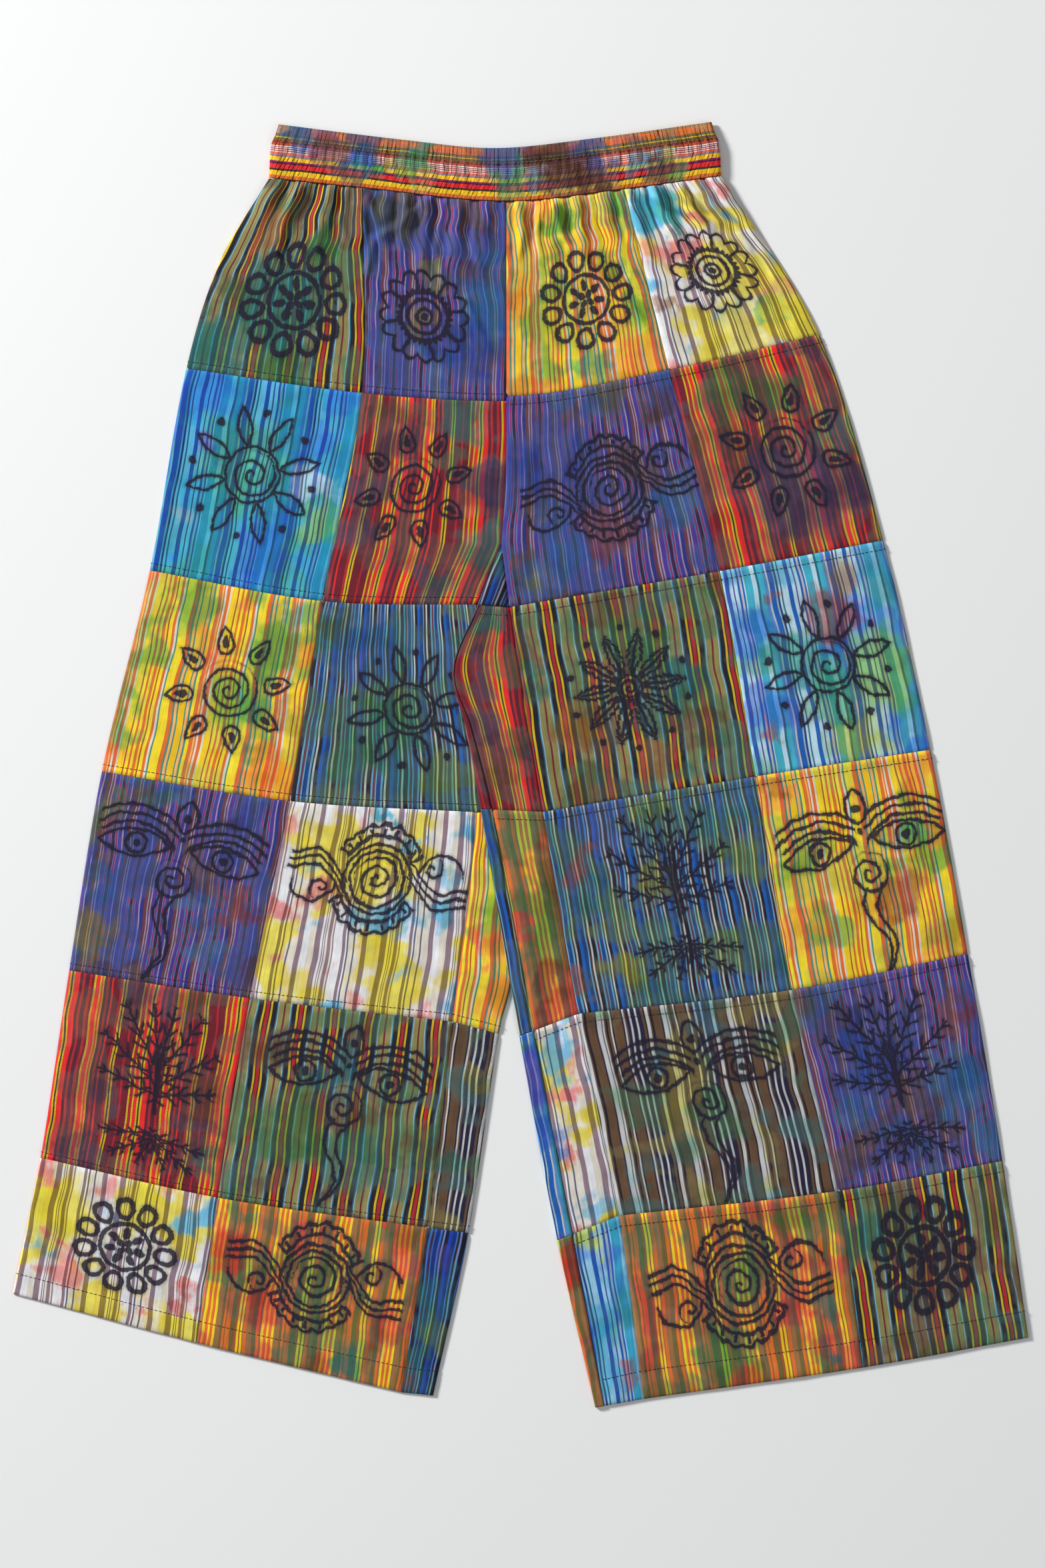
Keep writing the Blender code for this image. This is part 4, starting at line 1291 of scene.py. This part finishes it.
def seamShape(away, along, kind, stitchIn):
    # away from one edge, in mm; kind is seam or free
    height = 0.0
    if kind == "free":
        if away < relief["freeWidth"]:
            rise = max(away, 0.0) / relief["freeWidth"]
            height -= relief["freeDrop"] * (1.0 - math.sqrt(1.0 - (1.0 - rise) ** 2))
        return height
    height -= relief["seamDip"] * math.exp(-((away / relief["seamWidth"]) ** 2))
    if stitchIn:
        height += relief["turning"] * ease(away / 2.5) * (1.0 - ease((away - stitchIn) / 4.0))
        near = math.exp(-(((away - stitchIn) / 3.5) ** 2))
        wave = math.sin(2.0 * math.pi * along / relief["puckerPitch"])
        height += relief["pucker"] * near * (wave - 1.0)
    return height


def patchLimits(leg, first, last, rolled):
    edges = leftEdges if leg == "left" else rightEdges

    def limits(line):
        start = edgePoint(edges, first, line)[0] + rolled * (tableCurve(rollWidths, line) + layers["gap"] / 2)
        return start, edgePoint(edges, last, line)[0]

    return limits


def flatCut(widths, height):
    return max(widths), height, sum(widths) / len(widths) * height


def frontPatchShape(leg, row, limits, kinds, place=None, climbs=False):
    # kinds: the edges' kinds on the left and right
    legY = leftY if leg == "left" else rightY
    upper, middleLine, lower = (limits(row + share) for share in (0.0, 0.5, 1.0))
    width = lower[1] - lower[0] if row == 0 else middleLine[1] - middleLine[0]
    height = patchHeight(row)
    across = fineStops(width, 2.0 if row == 0 else 3.2)
    down = fineStops(height, 2.4 if row == 0 else 3.2)
    top, under, shares = [], [], []
    stitchBelow = relief["stitchIn"] if leg == "left" and row < 5 else 0.0
    stitchAbove = relief["stitchIn"] + 0.8 if leg == "right" and row > 0 else 0.0
    for lineShare in down:
        line = row + lineShare
        first, last = limits(line)
        topRow, underRow, shareRow = [], [], []
        for share in across:
            x = first + (last - first) * share
            y = legY(x, line)
            z = layers["frontTop"]
            if row == 0:
                fall = max(legY(x, 0.0) - y, 0.0)
                z += gatherHeight(place + share, fall)
                fine = noise.noise(Vector(((place + share) * 17.0, fall / 60.0, 1.3)))
                z += 1.8 * abs(fine) * (1.0 - ease(fall / 75.0)) + max(foldHeight(x, y), -0.8)
            if climbs:
                z += climbHeight(x, y, layers["climbReach"])
            fromTop, fromFoot = lineShare * height, (1.0 - lineShare) * height
            fromLeft, fromRight = share * (last - first), (1.0 - min(share, 1.0)) * (last - first)
            inside = ease(min(fromTop, fromFoot, fromLeft, fromRight) / 12.0)
            covered = climbHeight(x + 14.0, y) / layers["climb"] if leg == "left" else 0.0
            z += softness(x, y) * (0.35 + 0.65 * inside) * (1.0 - covered)
            drop = seamShape(fromLeft, fromTop, kinds[0], 0.0)
            drop = min(drop, seamShape(fromRight, fromTop, kinds[1], 0.0))
            z += seamShape(fromTop, fromLeft, "seam", stitchAbove)
            if row == 5:
                drop = min(drop, seamShape(fromFoot, fromLeft, "free", 0.0))
                wave = math.sin(2.0 * math.pi * fromLeft / relief["puckerPitch"])
                near = math.exp(-(((fromFoot - relief["hemStitch"]) / 3.0) ** 2))
                z += relief["pucker"] * near * (wave - 1.0)
                z += 0.4 * (1.0 - ease((fromFoot - relief["hemStitch"]) / 3.0))
            else:
                z += seamShape(fromFoot, fromLeft, "seam", stitchBelow)
            z += drop
            # the cloth thins towards its free edges
            rims = ((fromLeft, kinds[0] == "free"), (fromRight, kinds[1] == "free"), (fromFoot, row == 5))
            rim = min([away for away, free in rims if free] or [relief["freeWidth"]])
            thick = layers["cloth"] * (1.0 - 0.45 * (1.0 - ease(rim / relief["freeWidth"])))
            z = max(z, thick + 0.15)
            topRow.append((x, y, z))
            underRow.append((x, y, z - thick))
            shareRow.append((share * width, lineShare * height))
        top.append(topRow)
        under.append(underRow)
        shares.append(shareRow)
    widths = [limits(row + part / 8.0) for part in range(9)]
    widths = [last - first for first, last in widths]
    # a gathered patch is cut as a full rectangle
    cut = flatCut([max(widths)] if row == 0 else widths, height)
    return top, under, shares, width, height, cut


pieces = []


def finishPiece(piece, node, slot, cut):
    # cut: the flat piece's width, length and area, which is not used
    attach(piece, "root")
    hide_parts(node)
    cut[0] * mm
    cut[1] * mm
    cut[2] * mm * mm
    pieces.append(piece)


# running stitches: short threads set along a line by Geometry Nodes

stitch = {
    "pitch": 3.5,
    "length": 2.7,
    "radius": 0.36,
    "seed": 11,
    "turn": 0.09,
}
threadColours = {
    "dark": (0.020, 0.012, 0.026, 1.0),
    "olive": (0.20, 0.17, 0.03, 1.0),
    "gold": (0.62, 0.30, 0.03, 1.0),
}


def threadMaterial(name):
    material, shader = newMaterial("thread_" + name)
    shader.inputs["Base Color"].default_value = threadColours[name]
    shader.inputs["Roughness"].default_value = 0.7
    return material


threads = {name: threadMaterial(name) for name in threadColours}


def stitchTree():
    tree = bpy.data.node_groups.new("runningStitch", "GeometryNodeTree")
    sockets = {}
    tree.interface.new_socket(name="Line", in_out="INPUT", socket_type="NodeSocketGeometry")
    for label, kind in (("Pitch", "Float"), ("Length", "Float"), ("Radius", "Float"), ("Turn", "Float"),
                        ("Seed", "Int"), ("Thread", "Material")):
        socket = tree.interface.new_socket(name=label, in_out="INPUT", socket_type="NodeSocket" + kind)
        sockets[label] = socket.identifier
    tree.interface.new_socket(name="Stitches", in_out="OUTPUT", socket_type="NodeSocketGeometry")

    def add(kind, **settings):
        made = tree.nodes.new(kind)
        for key, value in settings.items():
            setattr(made, key, value)
        return made

    link = tree.links.new
    entry, leave = add("NodeGroupInput"), add("NodeGroupOutput")
    line = add("GeometryNodeMeshToCurve")
    spread = add("GeometryNodeResampleCurve")
    if "Mode" in spread.inputs:
        spread.inputs["Mode"].default_value = "Length"
    else:
        spread.mode = "LENGTH"
    link(entry.outputs["Line"], line.inputs["Mesh"])
    link(line.outputs["Curve"], spread.inputs["Curve"])
    link(entry.outputs["Pitch"], spread.inputs["Length"])

    bead = add("GeometryNodeMeshUVSphere")
    bead.inputs["Segments"].default_value = 6
    bead.inputs["Rings"].default_value = 5
    link(entry.outputs["Radius"], bead.inputs["Radius"])
    ratio = add("ShaderNodeMath", operation="DIVIDE")
    half = add("ShaderNodeMath", operation="MULTIPLY")
    half.inputs[1].default_value = 0.5
    link(entry.outputs["Length"], half.inputs[0])
    link(half.outputs[0], ratio.inputs[0])
    link(entry.outputs["Radius"], ratio.inputs[1])
    size = add("ShaderNodeCombineXYZ")
    size.inputs["X"].default_value = 1.0
    size.inputs["Y"].default_value = 0.8
    link(ratio.outputs[0], size.inputs["Z"])

    tangent = add("GeometryNodeInputTangent")
    aim = add("FunctionNodeAlignRotationToVector", axis="Z")
    link(tangent.outputs[0], aim.inputs["Vector"])
    chance = add("FunctionNodeRandomValue", data_type="FLOAT")
    low = add("ShaderNodeMath", operation="MULTIPLY")
    low.inputs[1].default_value = -1.0
    link(entry.outputs["Turn"], low.inputs[0])
    floats = [socket for socket in chance.inputs if socket.enabled and socket.name in ("Min", "Max")]
    link(low.outputs[0], floats[0])
    link(entry.outputs["Turn"], floats[1])
    link(entry.outputs["Seed"], chance.inputs["Seed"])
    swing = add("FunctionNodeAxisAngleToRotation")
    swing.inputs["Axis"].default_value = (0.0, 0.0, 1.0)
    link([socket for socket in chance.outputs if socket.enabled][0], swing.inputs["Angle"])
    turned = add("FunctionNodeRotateRotation", rotation_space="GLOBAL")
    link(aim.outputs[0], turned.inputs["Rotation"])
    link(swing.outputs[0], turned.inputs["Rotate By"])

    placed = add("GeometryNodeInstanceOnPoints")
    link(spread.outputs["Curve"], placed.inputs["Points"])
    link(bead.outputs["Mesh"], placed.inputs["Instance"])
    link(turned.outputs[0], placed.inputs["Rotation"])
    link(size.outputs[0], placed.inputs["Scale"])
    real = add("GeometryNodeRealizeInstances")
    link(placed.outputs[0], real.inputs[0])
    dyed = add("GeometryNodeSetMaterial")
    link(real.outputs[0], dyed.inputs["Geometry"])
    link(entry.outputs["Thread"], dyed.inputs["Material"])
    link(dyed.outputs[0], leave.inputs[0])
    return tree, sockets


stitchNodes, stitchSockets = stitchTree()


def sewLine(points, thread, seed):
    # a mesh of the stitches along the points, in mm
    mesh = bpy.data.meshes.new("stitchLine")
    edges = [(i, i + 1) for i in range(len(points) - 1)]
    mesh.from_pydata([tuple(c * mm for c in point) for point in points], edges, [])
    obj = bpy.data.objects.new("stitchLine", mesh)
    bpy.context.scene.collection.objects.link(obj)
    modifier = obj.modifiers.new("stitches", "NODES")
    modifier.node_group = stitchNodes
    values = {
        "Pitch": stitch["pitch"] * mm,
        "Length": stitch["length"] * mm,
        "Radius": stitch["radius"] * mm,
        "Turn": stitch["turn"],
        "Seed": stitch["seed"] + seed,
        "Thread": threads[thread],
    }
    for label, value in values.items():
        modifier[stitchSockets[label]] = value
    graph = bpy.context.evaluated_depsgraph_get()
    sewn = bpy.data.meshes.new_from_object(obj.evaluated_get(graph))
    bpy.data.objects.remove(obj)
    return sewn


def joinStitches(piece, sewn, thread):
    # the stitches become part of the patch, with their own material
    materials = piece.data.materials
    if threads[thread].name not in materials:
        materials.append(threads[thread])
    index = list(materials).index(threads[thread])
    both = bmesh.new()
    both.from_mesh(piece.data)
    before = len(both.faces)
    both.from_mesh(sewn)
    both.faces.ensure_lookup_table()
    for face in both.faces[before:]:
        face.material_index = index
        face.smooth = True
    both.to_mesh(piece.data)
    both.free()
    bpy.data.meshes.remove(sewn)


def gridLine(top, shares, at):
    # the points of the grid's surface where the piece is this many mm down
    downs = [row[0][1] for row in shares]
    i = min(max(bisect.bisect_right(downs, at) - 1, 0), len(downs) - 2)
    share = (at - downs[i]) / (downs[i + 1] - downs[i])
    line = []
    for first, second in zip(top[i], top[i + 1]):
        line.append(tuple(a + (b - a) * share for a, b in zip(first, second)))
    return [(x, y, z + 0.12) for x, y, z in line]


def frontColumns():
    # name, leg, row, first edge, last edge, rolled, kinds, place, climbs
    for row in range(6):
        last = "inner" if row < 3 else "strip"
        freeInner = "free" if row == 2 else "seam"
        yield f"left_row{row + 1}_outer", "left", row, "side", "middle", 0.0, ("free", "seam"), 0, False
        yield f"left_row{row + 1}_inner", "left", row, "middle", last, 0.0, ("seam", freeInner), 1, False
        if row > 2:
            yield f"left_row{row + 1}_strip", "left", row, "strip", "inner", 0.0, ("seam", "free"), 0, False
        climbs = 1 <= row <= 3
        yield f"right_row{row + 1}_inner", "right", row, "strip", "middle", 0.0, ("seam", "seam"), 2, climbs
        yield f"right_row{row + 1}_outer", "right", row, "middle", "side", 0.0, ("seam", "free"), 3, False
        if row > 1:
            yield f"right_row{row + 1}_strip", "right", row, "inner", "strip", 1.0, ("seam", "seam"), 0, True


def buildFront():
    for name, leg, row, first, last, rolled, kinds, place, climbs in frontColumns():
        look = frontPatches[name]
        limits = patchLimits(leg, first, last, rolled)
        top, under, shares, width, height, cut = frontPatchShape(
            leg, row, limits, kinds, place if row == 0 else None, climbs
        )
        piece = clothShell("cloth_front_" + name, top, under, shares)
        piece.data.materials.append(dyedMaterial("front_" + name, look, width, height))
        lines = []
        if leg == "left" and row < 5:
            lines.append(height - relief["stitchIn"])
        if leg == "right" and row > 0:
            lines.append(relief["stitchIn"] + 0.8)
        if row == 5:
            lines.append(height - relief["hemStitch"])
        for at in lines:
            sewn = sewLine(gridLine(top, shares, at)[1:-1], "dark", len(pieces))
            joinStitches(piece, sewn, "dark")
        finishPiece(piece, "front_" + name, "cloth_" + look["cloth"], cut)


buildFront()
print("front patches:", len(pieces))


def buildGusset():
    # the wedge of striped cloth between the legs' inner patches
    name = "right_row2_gusset"
    look = frontPatches[name]
    upper, lower = 1.74, 1.998
    height = (lower - upper) * layers["rowHeight"]
    top, under, shares, widths = [], [], [], []
    for i in range(17):
        line = upper + (lower - upper) * i / 16
        first = edgePoint(leftEdges, "inner", line)[0] + layers["gap"]
        last = edgePoint(rightEdges, "strip", line)[0] - layers["gap"]
        widths.append(last - first)
        topRow, underRow, shareRow = [], [], []
        for j in range(9):
            x = first + (last - first) * j / 8
            y = rightY(x, line)
            z = layers["frontTop"] + climbHeight(x, y, layers["climbReach"])
            z += softness(x, y) * 0.3
            z += seamShape(x - first, 0.0, "seam", 0.0) + seamShape(last - x, 0.0, "seam", 0.0)
            topRow.append((x, y, z))
            underRow.append((x, y, z - layers["cloth"]))
            shareRow.append((x - first, height * i / 16))
        top.append(topRow)
        under.append(underRow)
        shares.append(shareRow)
    piece = clothShell("cloth_front_" + name, top, under, shares)
    piece.data.materials.append(dyedMaterial("front_" + name, look, max(widths), height))
    finishPiece(piece, "front_" + name, "cloth_" + look["cloth"], flatCut(widths, height))


buildGusset()
print("gusset built")


# the back lies on the surface; its hidden cloths follow the front's manner

backCloths = (
    # left outer, left inner, right inner, right outer
    ("yellow", "navy", "olive", "red"),
    ("white", "olive", "turquoise", "purple"),
    ("navy", "yellow", "red", "white"),
    ("red", "turquoise", "navy", "olive"),
    ("purple", "white", "turquoise", "brown"),
    ("red", "olive", "orange", "navy"),
)
backPrints = (
    ("ringRosette", "sunDrops", "almondFlower", "roundFlower"),
    ("swirlWaves", "almondFlower", "sunDrops", "spikyLeaves"),
    ("almondFlower", "spikyLeaves", "swirlWaves", "sunDrops"),
    ("rootedTree", "calmEyes", "calmEyes", "rootedTree"),
    ("calmEyes", "rootedTree", "rootedTree", "calmEyes"),
    ("swirlWaves", "roundFlower", "roundFlower", "swirlWaves"),
)
printSizes = {
    "roundFlower": (42.0, 1.7),
    "ringRosette": (36.0, 1.5),
    "almondFlower": (49.0, 1.2),
    "sunDrops": (48.0, 1.2),
    "spikyLeaves": (47.0, 1.2),
    "swirlWaves": (66.0, 1.2),
    "calmEyes": (62.0, 1.2),
    "rootedTree": (58.0, 0.7),
}
backDyes = {
    "olive": ("green", "orange", "teal", "brown"),
    "purple": ("blue", "red", "sky", "brown"),
    "yellow": ("green", "teal", "orange", "lime"),
    "white": ("yellow", "rose", "sky", "yellow"),
    "turquoise": ("cyan", "green", "lime", "violet"),
    "red": ("navy", "green", "teal", "brown"),
    "navy": ("green", "lime", "teal", "blue"),
    "brown": ("yellow", "green", "teal", "sky"),
    "orange": ("green", "red", "teal", "green"),
}


def backLook(row, column):
    cloth = backCloths[row][column]
    kind = backPrints[row][column]
    radius, halfWidth = printSizes[kind]
    blots = []
    for i, dye in enumerate(backDyes[cloth] * 2):
        # scattered evenly enough by two odd steps
        step = i * 3 + row * 5 + column * 7
        across, down = (step * 0.382) % 1.0, (step * 0.618 + 0.21) % 1.0
        blots.append((dye, across, down, 14.0 + (step * 7) % 17, 0.8))
    down = 0.36 if kind == "calmEyes" else 0.48
    ink = (kind, 0.5, down, radius, halfWidth, 0.0)
    return dict(cloth=cloth, shift=row * 9.0 + column * 5.0, ink=ink, blots=blots)


def backSoftness(x, y):
    lift = 0.5 + 0.5 * noise.noise(Vector((x / 40.0, y / 52.0, 21.0)))
    return 0.22 * lift


def buildBackPatch(row, side, column, index, first, last, edges, legY, kinds):
    rolled = side == "right" and column == "inner" and row > 1
    name = f"back_{side}_row{row + 1}_{column}"
    look = backLook(row, index)
    height = patchHeight(row)
    down = fineStops(height, 9.0, (0.0, 1.2, 3.0, 6.0))
    middleLine = row + 0.5
    width = edgePoint(edges, last, middleLine)[0] - edgePoint(edges, first, middleLine)[0]
    across = fineStops(width, 7.0, (0.0, 1.2, 3.0, 6.0))
    top, under, shares, widths = [], [], [], []
    for lineShare in down:
        line = row + lineShare
        start, end = edgePoint(edges, first, line)[0], edgePoint(edges, last, line)[0]
        if side == "right" and column == "inner" and row < 2:
            start = edgePoint(leftEdges, "inner", line)[0]
        start, end = start + 0.15, end - 0.15
        section = []
        if rolled:
            # from the seam on the front, round the inside leg, to the back
            roll = tableCurve(rollWidths, line)
            bend = min(1.15, roll * 0.9)
            for i in range(5):
                section.append((start + bend + (roll - bend) * (1.0 - i / 4), 2.3, 1.6, 0.0))
            for i in range(1, 8):
                angle = math.pi * i / 8
                section.append((start + bend - bend * math.sin(angle), 1.15 + 1.15 * math.cos(angle),
                                1.15 + 0.45 * math.cos(angle), bend * 0.6 * math.sin(angle)))
            flatStart = start + bend
        else:
            flatStart = start
        for share in across:
            section.append((flatStart + (end - flatStart) * share, None, None, share))
        topRow, underRow, shareRow = [], [], []
        travelled, before = 0.0, None
        for x, outerZ, innerZ, extra in section:
            y = legY(x, line)
            lift = climbHeight(x, y) if side == "right" and column == "inner" else 0.0
            if outerZ is None:
                fromLeft, fromRight = max(x - flatStart, 0.0), max(end - x, 0.0)
                low = backSoftness(x, y)
                thick = layers["cloth"]
                for away, kind in ((fromLeft, kinds[0]), (fromRight, kinds[1])):
                    if kind == "free" and away < relief["freeWidth"]:
                        bow = 1.0 - math.sqrt(1.0 - (1.0 - away / relief["freeWidth"]) ** 2)
                        low += 0.1 * bow
                        thick -= 0.28 * bow
                    if kind == "seam":
                        low += 0.30 * math.exp(-((away / 1.3) ** 2))
                fromTop, fromFoot = lineShare * height, (1.0 - lineShare) * height
                low += 0.30 * math.exp(-((fromTop / 1.3) ** 2)) + 0.30 * math.exp(-((fromFoot / 1.3) ** 2))
                outer, inner = (x, y, low + lift), (x, y, low + thick + lift)
            else:
                outer, inner = (x, y, outerZ + lift), (x + extra, y, innerZ + lift)
            if before is not None:
                travelled += math.dist(before, outer)
            before = outer
            topRow.append(inner)
            underRow.append(outer)
            shareRow.append((travelled, lineShare * height))
        widths.append(travelled)
        top.append(topRow)
        under.append(underRow)
        shares.append(shareRow)
    piece = clothShell("cloth_" + name, top, under, shares)
    piece.data.materials.append(dyedMaterial(name, look, width, height))
    finishPiece(piece, name, "cloth_" + look["cloth"], flatCut(widths, height))


def buildBack():
    for row in range(6):
        buildBackPatch(row, "left", "outer", 0, "side", "middle", leftEdges, leftY, ("free", "seam"))
        inner = ("seam", "free") if row > 1 else ("seam", "seam")
        buildBackPatch(row, "left", "inner", 1, "middle", "inner", leftEdges, leftY, inner)
        first = "inner" if row > 1 else "strip"
        buildBackPatch(row, "right", "inner", 2, first, "middle", rightEdges, rightY, ("seam", "seam"))
        buildBackPatch(row, "right", "outer", 3, "middle", "side", rightEdges, rightY, ("seam", "free"))


buildBack()
print("back patches:", len(pieces))


# the waistband: shirred cloth over elastic, its front and its back each in two halves

band = {
    "topEdge": ((-187.7, 498.0), (-90.0, 485.9), (-20.0, 479.6), (53.2, 486.7), (150.9, 500.3)),
    "endInset": ((0.0, 7.6), (0.2, 5.0), (0.4, 1.6), (1.0, 0.0)),
    "section": (
        (0.0, -0.8), (0.1, 0.0), (0.26, 0.1), (0.31, -0.7), (0.38, 0.1), (0.62, 0.3), (0.9, 0.25), (1.0, -0.3)
    ),
    "thick": 2.6,
    "seamGap": 0.6,
    "crimps": 44,
    "crimp": 0.5,
    "height": 42.0,
    "slack": 1.3,
    "length": 351.0,
}
bandRows = (
    0.0, 0.012, 0.03, 0.06, 0.1, 0.15, 0.2, 0.25, 0.28, 0.30, 0.32, 0.34, 0.37, 0.42, 0.48, 0.54, 0.60,
    0.66, 0.72, 0.78, 0.84, 0.90, 0.95, 0.98, 1.0,
)
bandStripes = (
    # colour and width, from the folded top edge down
    ("ochre", 2.0), ("orange", 5.0), ("olive", 2.4), ("gold", 0.7), ("olive", 1.7), ("brick", 4.6),
    ("white", 0.55), ("brick", 0.9), ("white", 0.55), ("brick", 0.9), ("white", 0.55), ("brick", 0.9),
    ("white", 0.6), ("coral", 1.8), ("mauve", 1.7), ("gold", 3.1), ("magenta", 1.3), ("plum", 1.2),
    ("bright", 3.5),
    ("umber", 1.6), ("gold", 3.7), ("orange", 3.2),
)
bandBlots = (
    # dye, from the left end, down, radius, strength
    ("sky", 14, 1, 12, 0.8), ("blue", 18, 6, 12, 0.8), ("violet", 40, 8, 13, 0.8),
    ("brown", 44, 16, 14, 0.7),
    ("navy", 72, 5, 18, 0.8), ("umber", 60, 33, 13, 0.7), ("blue", 70, 20, 13, 0.9),
    ("cyan", 76, 27, 9, 0.8),
    ("green", 82, 24, 7, 0.9), ("brown", 98, 3, 8, 0.5), ("yellow", 91, 24, 8, 0.7),
    ("green", 104, 22, 13, 0.8),
    ("teal", 116, 6, 12, 0.9), ("green", 118, 14, 12, 0.8), ("lime", 106, 30, 9, 0.6),
    ("yellow", 122, 28, 11, 0.6),
    ("orange", 142, 5, 16, 0.3), ("brown", 160, 6, 8, 0.5), ("blue", 178, 5, 17, 0.9),
    ("cyan", 186, 20, 13, 0.8),
    ("violet", 176, 16, 12, 0.7), ("green", 188, 30, 13, 0.7), ("violet", 204, 6, 12, 0.8),
    ("umber", 208, 14, 14, 0.8),
    ("sky", 208, 30, 9, 0.7), ("umber", 228, 10, 19, 0.9), ("umber", 232, 28, 21, 0.9),
    ("umber", 252, 30, 17, 0.9),
    ("violet", 246, 4, 12, 0.7), ("blue", 254, 7, 12, 0.8), ("navy", 258, 20, 11, 0.7),
    ("rose", 274, 5, 10, 0.5),
    ("sky", 291, 22, 12, 0.8), ("brown", 290, 13, 8, 0.6), ("umber", 304, 34, 13, 0.8),
    ("lime", 308, 20, 9, 0.7),
    ("green", 318, 36, 8, 0.8), ("moss", 316, 5, 8, 0.7), ("lime", 338, 3, 7, 0.5),
)


def bandMaterial():
    material, shader = newMaterial("cloth_waistband")
    bench = Bench(material.node_tree)
    flat = bench.flatPlace()
    u, v = bench.split(flat)
    stops, total = stripeStops(bandStripes)
    wander = (bench.noise(flat, 0.05, 2.0) - 0.5) * 1.6
    tooth = abs((u / 0.9).math("FRACT") - 0.5) * 0.5
    share = (v + wander + tooth) / total
    ramp = bench.node("ValToRGB", {"stops": stops}, {0: share.most(0.001).least(0.999)})
    # folds between the shirring stitches lean in the lower part; their troughs are painted darker as painted
    # shade, and the cloth is painted lighter where the pleats rise, as painted light
    slack = bench.vector("MULTIPLY", flat, (0.35, 0.09, 1.0))
    pleat = bench.noise(slack, 1.0, 2.0)
    lean = (v - 22.0).most(0.0) * 0.45
    foldAndShade = abs(((u + lean + pleat * 2.6) / 3.3).math("FRACT") - 0.5) * 3.3
    deep = bench.noise(bench.vector("MULTIPLY", flat, (0.20, 0.05, 1.0)), 1.0, 1.0).fade(0.42, 0.62)
    foldAndShade = foldAndShade.fade(0.65, 0.10) * (0.30 + deep * 0.55)
    weft = ((u + v * 0.3) * 7.0).math("SINE")
    # painted shade and painted light: the tone darkens in the fold troughs and lightens where the pleat noise
    # raises the bump
    tone = (0.72 + pleat * 0.50 + weft * 0.08) * (1.0 - foldAndShade)
    woven = bench.mix(1.0, ramp, bench.grey(tone), "MULTIPLY")
    soaked = bench.vector("ADD", flat, bench.waver(flat, 0.06, 3.0, 34.0))
    tint = (1.0, 1.0, 1.0, 1.0)
    cover = bench.value(0.0)
    for dye, along, down, radius, strength in bandBlots:
        away = bench.distance(soaked, along, down)
        share = away.fade(radius * 1.25, radius * 0.6) * strength
        tint, cover = layDye(bench, tint, cover, dye, share)
    # painted shade: the dyed colour is darkened in the fold troughs too
    lit = bench.mix(1.0, tint, bench.grey(0.50 - foldAndShade * 0.3), "MULTIPLY")
    colour = bench.mix(1.0, woven, tint, "MULTIPLY")
    colour = bench.mix(cover * 0.42, colour, lit)
    shape = pleat + weft * 0.12 - foldAndShade
    finishCloth(bench, shader, colour, {"Strength": 0.6, "Distance": 0.0008, "Height": shape})
    return material


def bandPoint(along, down):
    # on the band's face: along is the share from its left end, down from its top edge
    leftEnd, rightEnd = edgePoint(leftEdges, "side", 0.0)[0], edgePoint(rightEdges, "side", 0.0)[0]
    centre = edgePoint(leftEdges, "inner", 0.0)[0]
    inset = tableCurve(band["endInset"], down)
    x = leftEnd + inset + (rightEnd - leftEnd - 2 * inset) * along
    low = (leftY if x < centre else rightY)(x, 0.0) + band["seamGap"]
    return x, low + (tableCurve(band["topEdge"], x) - low) * (1.0 - down)


def bandHeight(along, down):
    # over the half's own level
    z = tableCurve(band["section"], down)
    phase = along * band["crimps"] + 0.35 * noise.noise(Vector((along * 30.0, down * 1.5, 4.0)))
    z += band["crimp"] * math.cos(2.0 * math.pi * phase) * math.sin(math.pi * min(max(down, 0.1), 0.9))
    z += 0.35 * noise.noise(Vector((along * 150.0 + down * 6.0, down * 3.0, 9.0)))
    return z


def buildBand(front, half, material):
    # half 0 is the left one
    side = "front" if front else "back"
    name = f"waistband_{side}_" + ("left", "right")[half]
    level = layers["gap"] + band["thick"] if front else 0.0
    columns = 130 if front else 60
    top, under, shares = [], [], []
    for down in bandRows:
        topRow, underRow, shareRow = [], [], []
        for i in range(columns + 1):
            along = 0.5 * half + 0.5 * i / columns
            x, y = bandPoint(along, down)
            swell = bandHeight(along, down)
            fromTop = down * band["height"]
            fromEnd = min(along, 1.0 - along) * band["length"]
            pinch = 0.0
            for away, reach in ((fromTop, 3.0), (fromEnd, 4.0)):
                if away < reach:
                    pinch += 1.0 - math.sqrt(1.0 - (1.0 - away / reach) ** 2)
            pinch = min(pinch, 1.0)
            face = band["thick"] + swell - (band["thick"] - 0.5 + swell) * pinch
            if front:
                topRow.append((x, y, level + face))
                underRow.append((x, y, level))
            else:
                # the back's face is turned down to the surface
                low = max(0.0, 0.35 - 0.5 * swell * 0.5) + 1.6 * pinch
                topRow.append((x, y, band["thick"]))
                underRow.append((x, y, min(low, band["thick"] - 0.4)))
            shareRow.append((along * band["length"], fromTop))
        top.append(topRow)
        under.append(underRow)
        shares.append(shareRow)
    piece = clothShell(name, top, under, shares)
    piece.data.materials.append(material)
    if front:
        for at, thread in ((12.3, "olive"), (13.6, "dark")):
            sewn = sewLine(gridLine(top, shares, at)[1:-1], thread, len(pieces))
            joinStitches(piece, sewn, thread)
    flatWidth = band["length"] / 2 * band["slack"]
    cut = (flatWidth, band["height"], flatWidth * band["height"])
    finishPiece(piece, f"waistband_{side}", "cloth_band", cut)


bandCloth = bandMaterial()
for half in (0, 1):
    buildBand(True, half, bandCloth)
    buildBand(False, half, bandCloth)
print("waistband built:", len(pieces), "pieces")
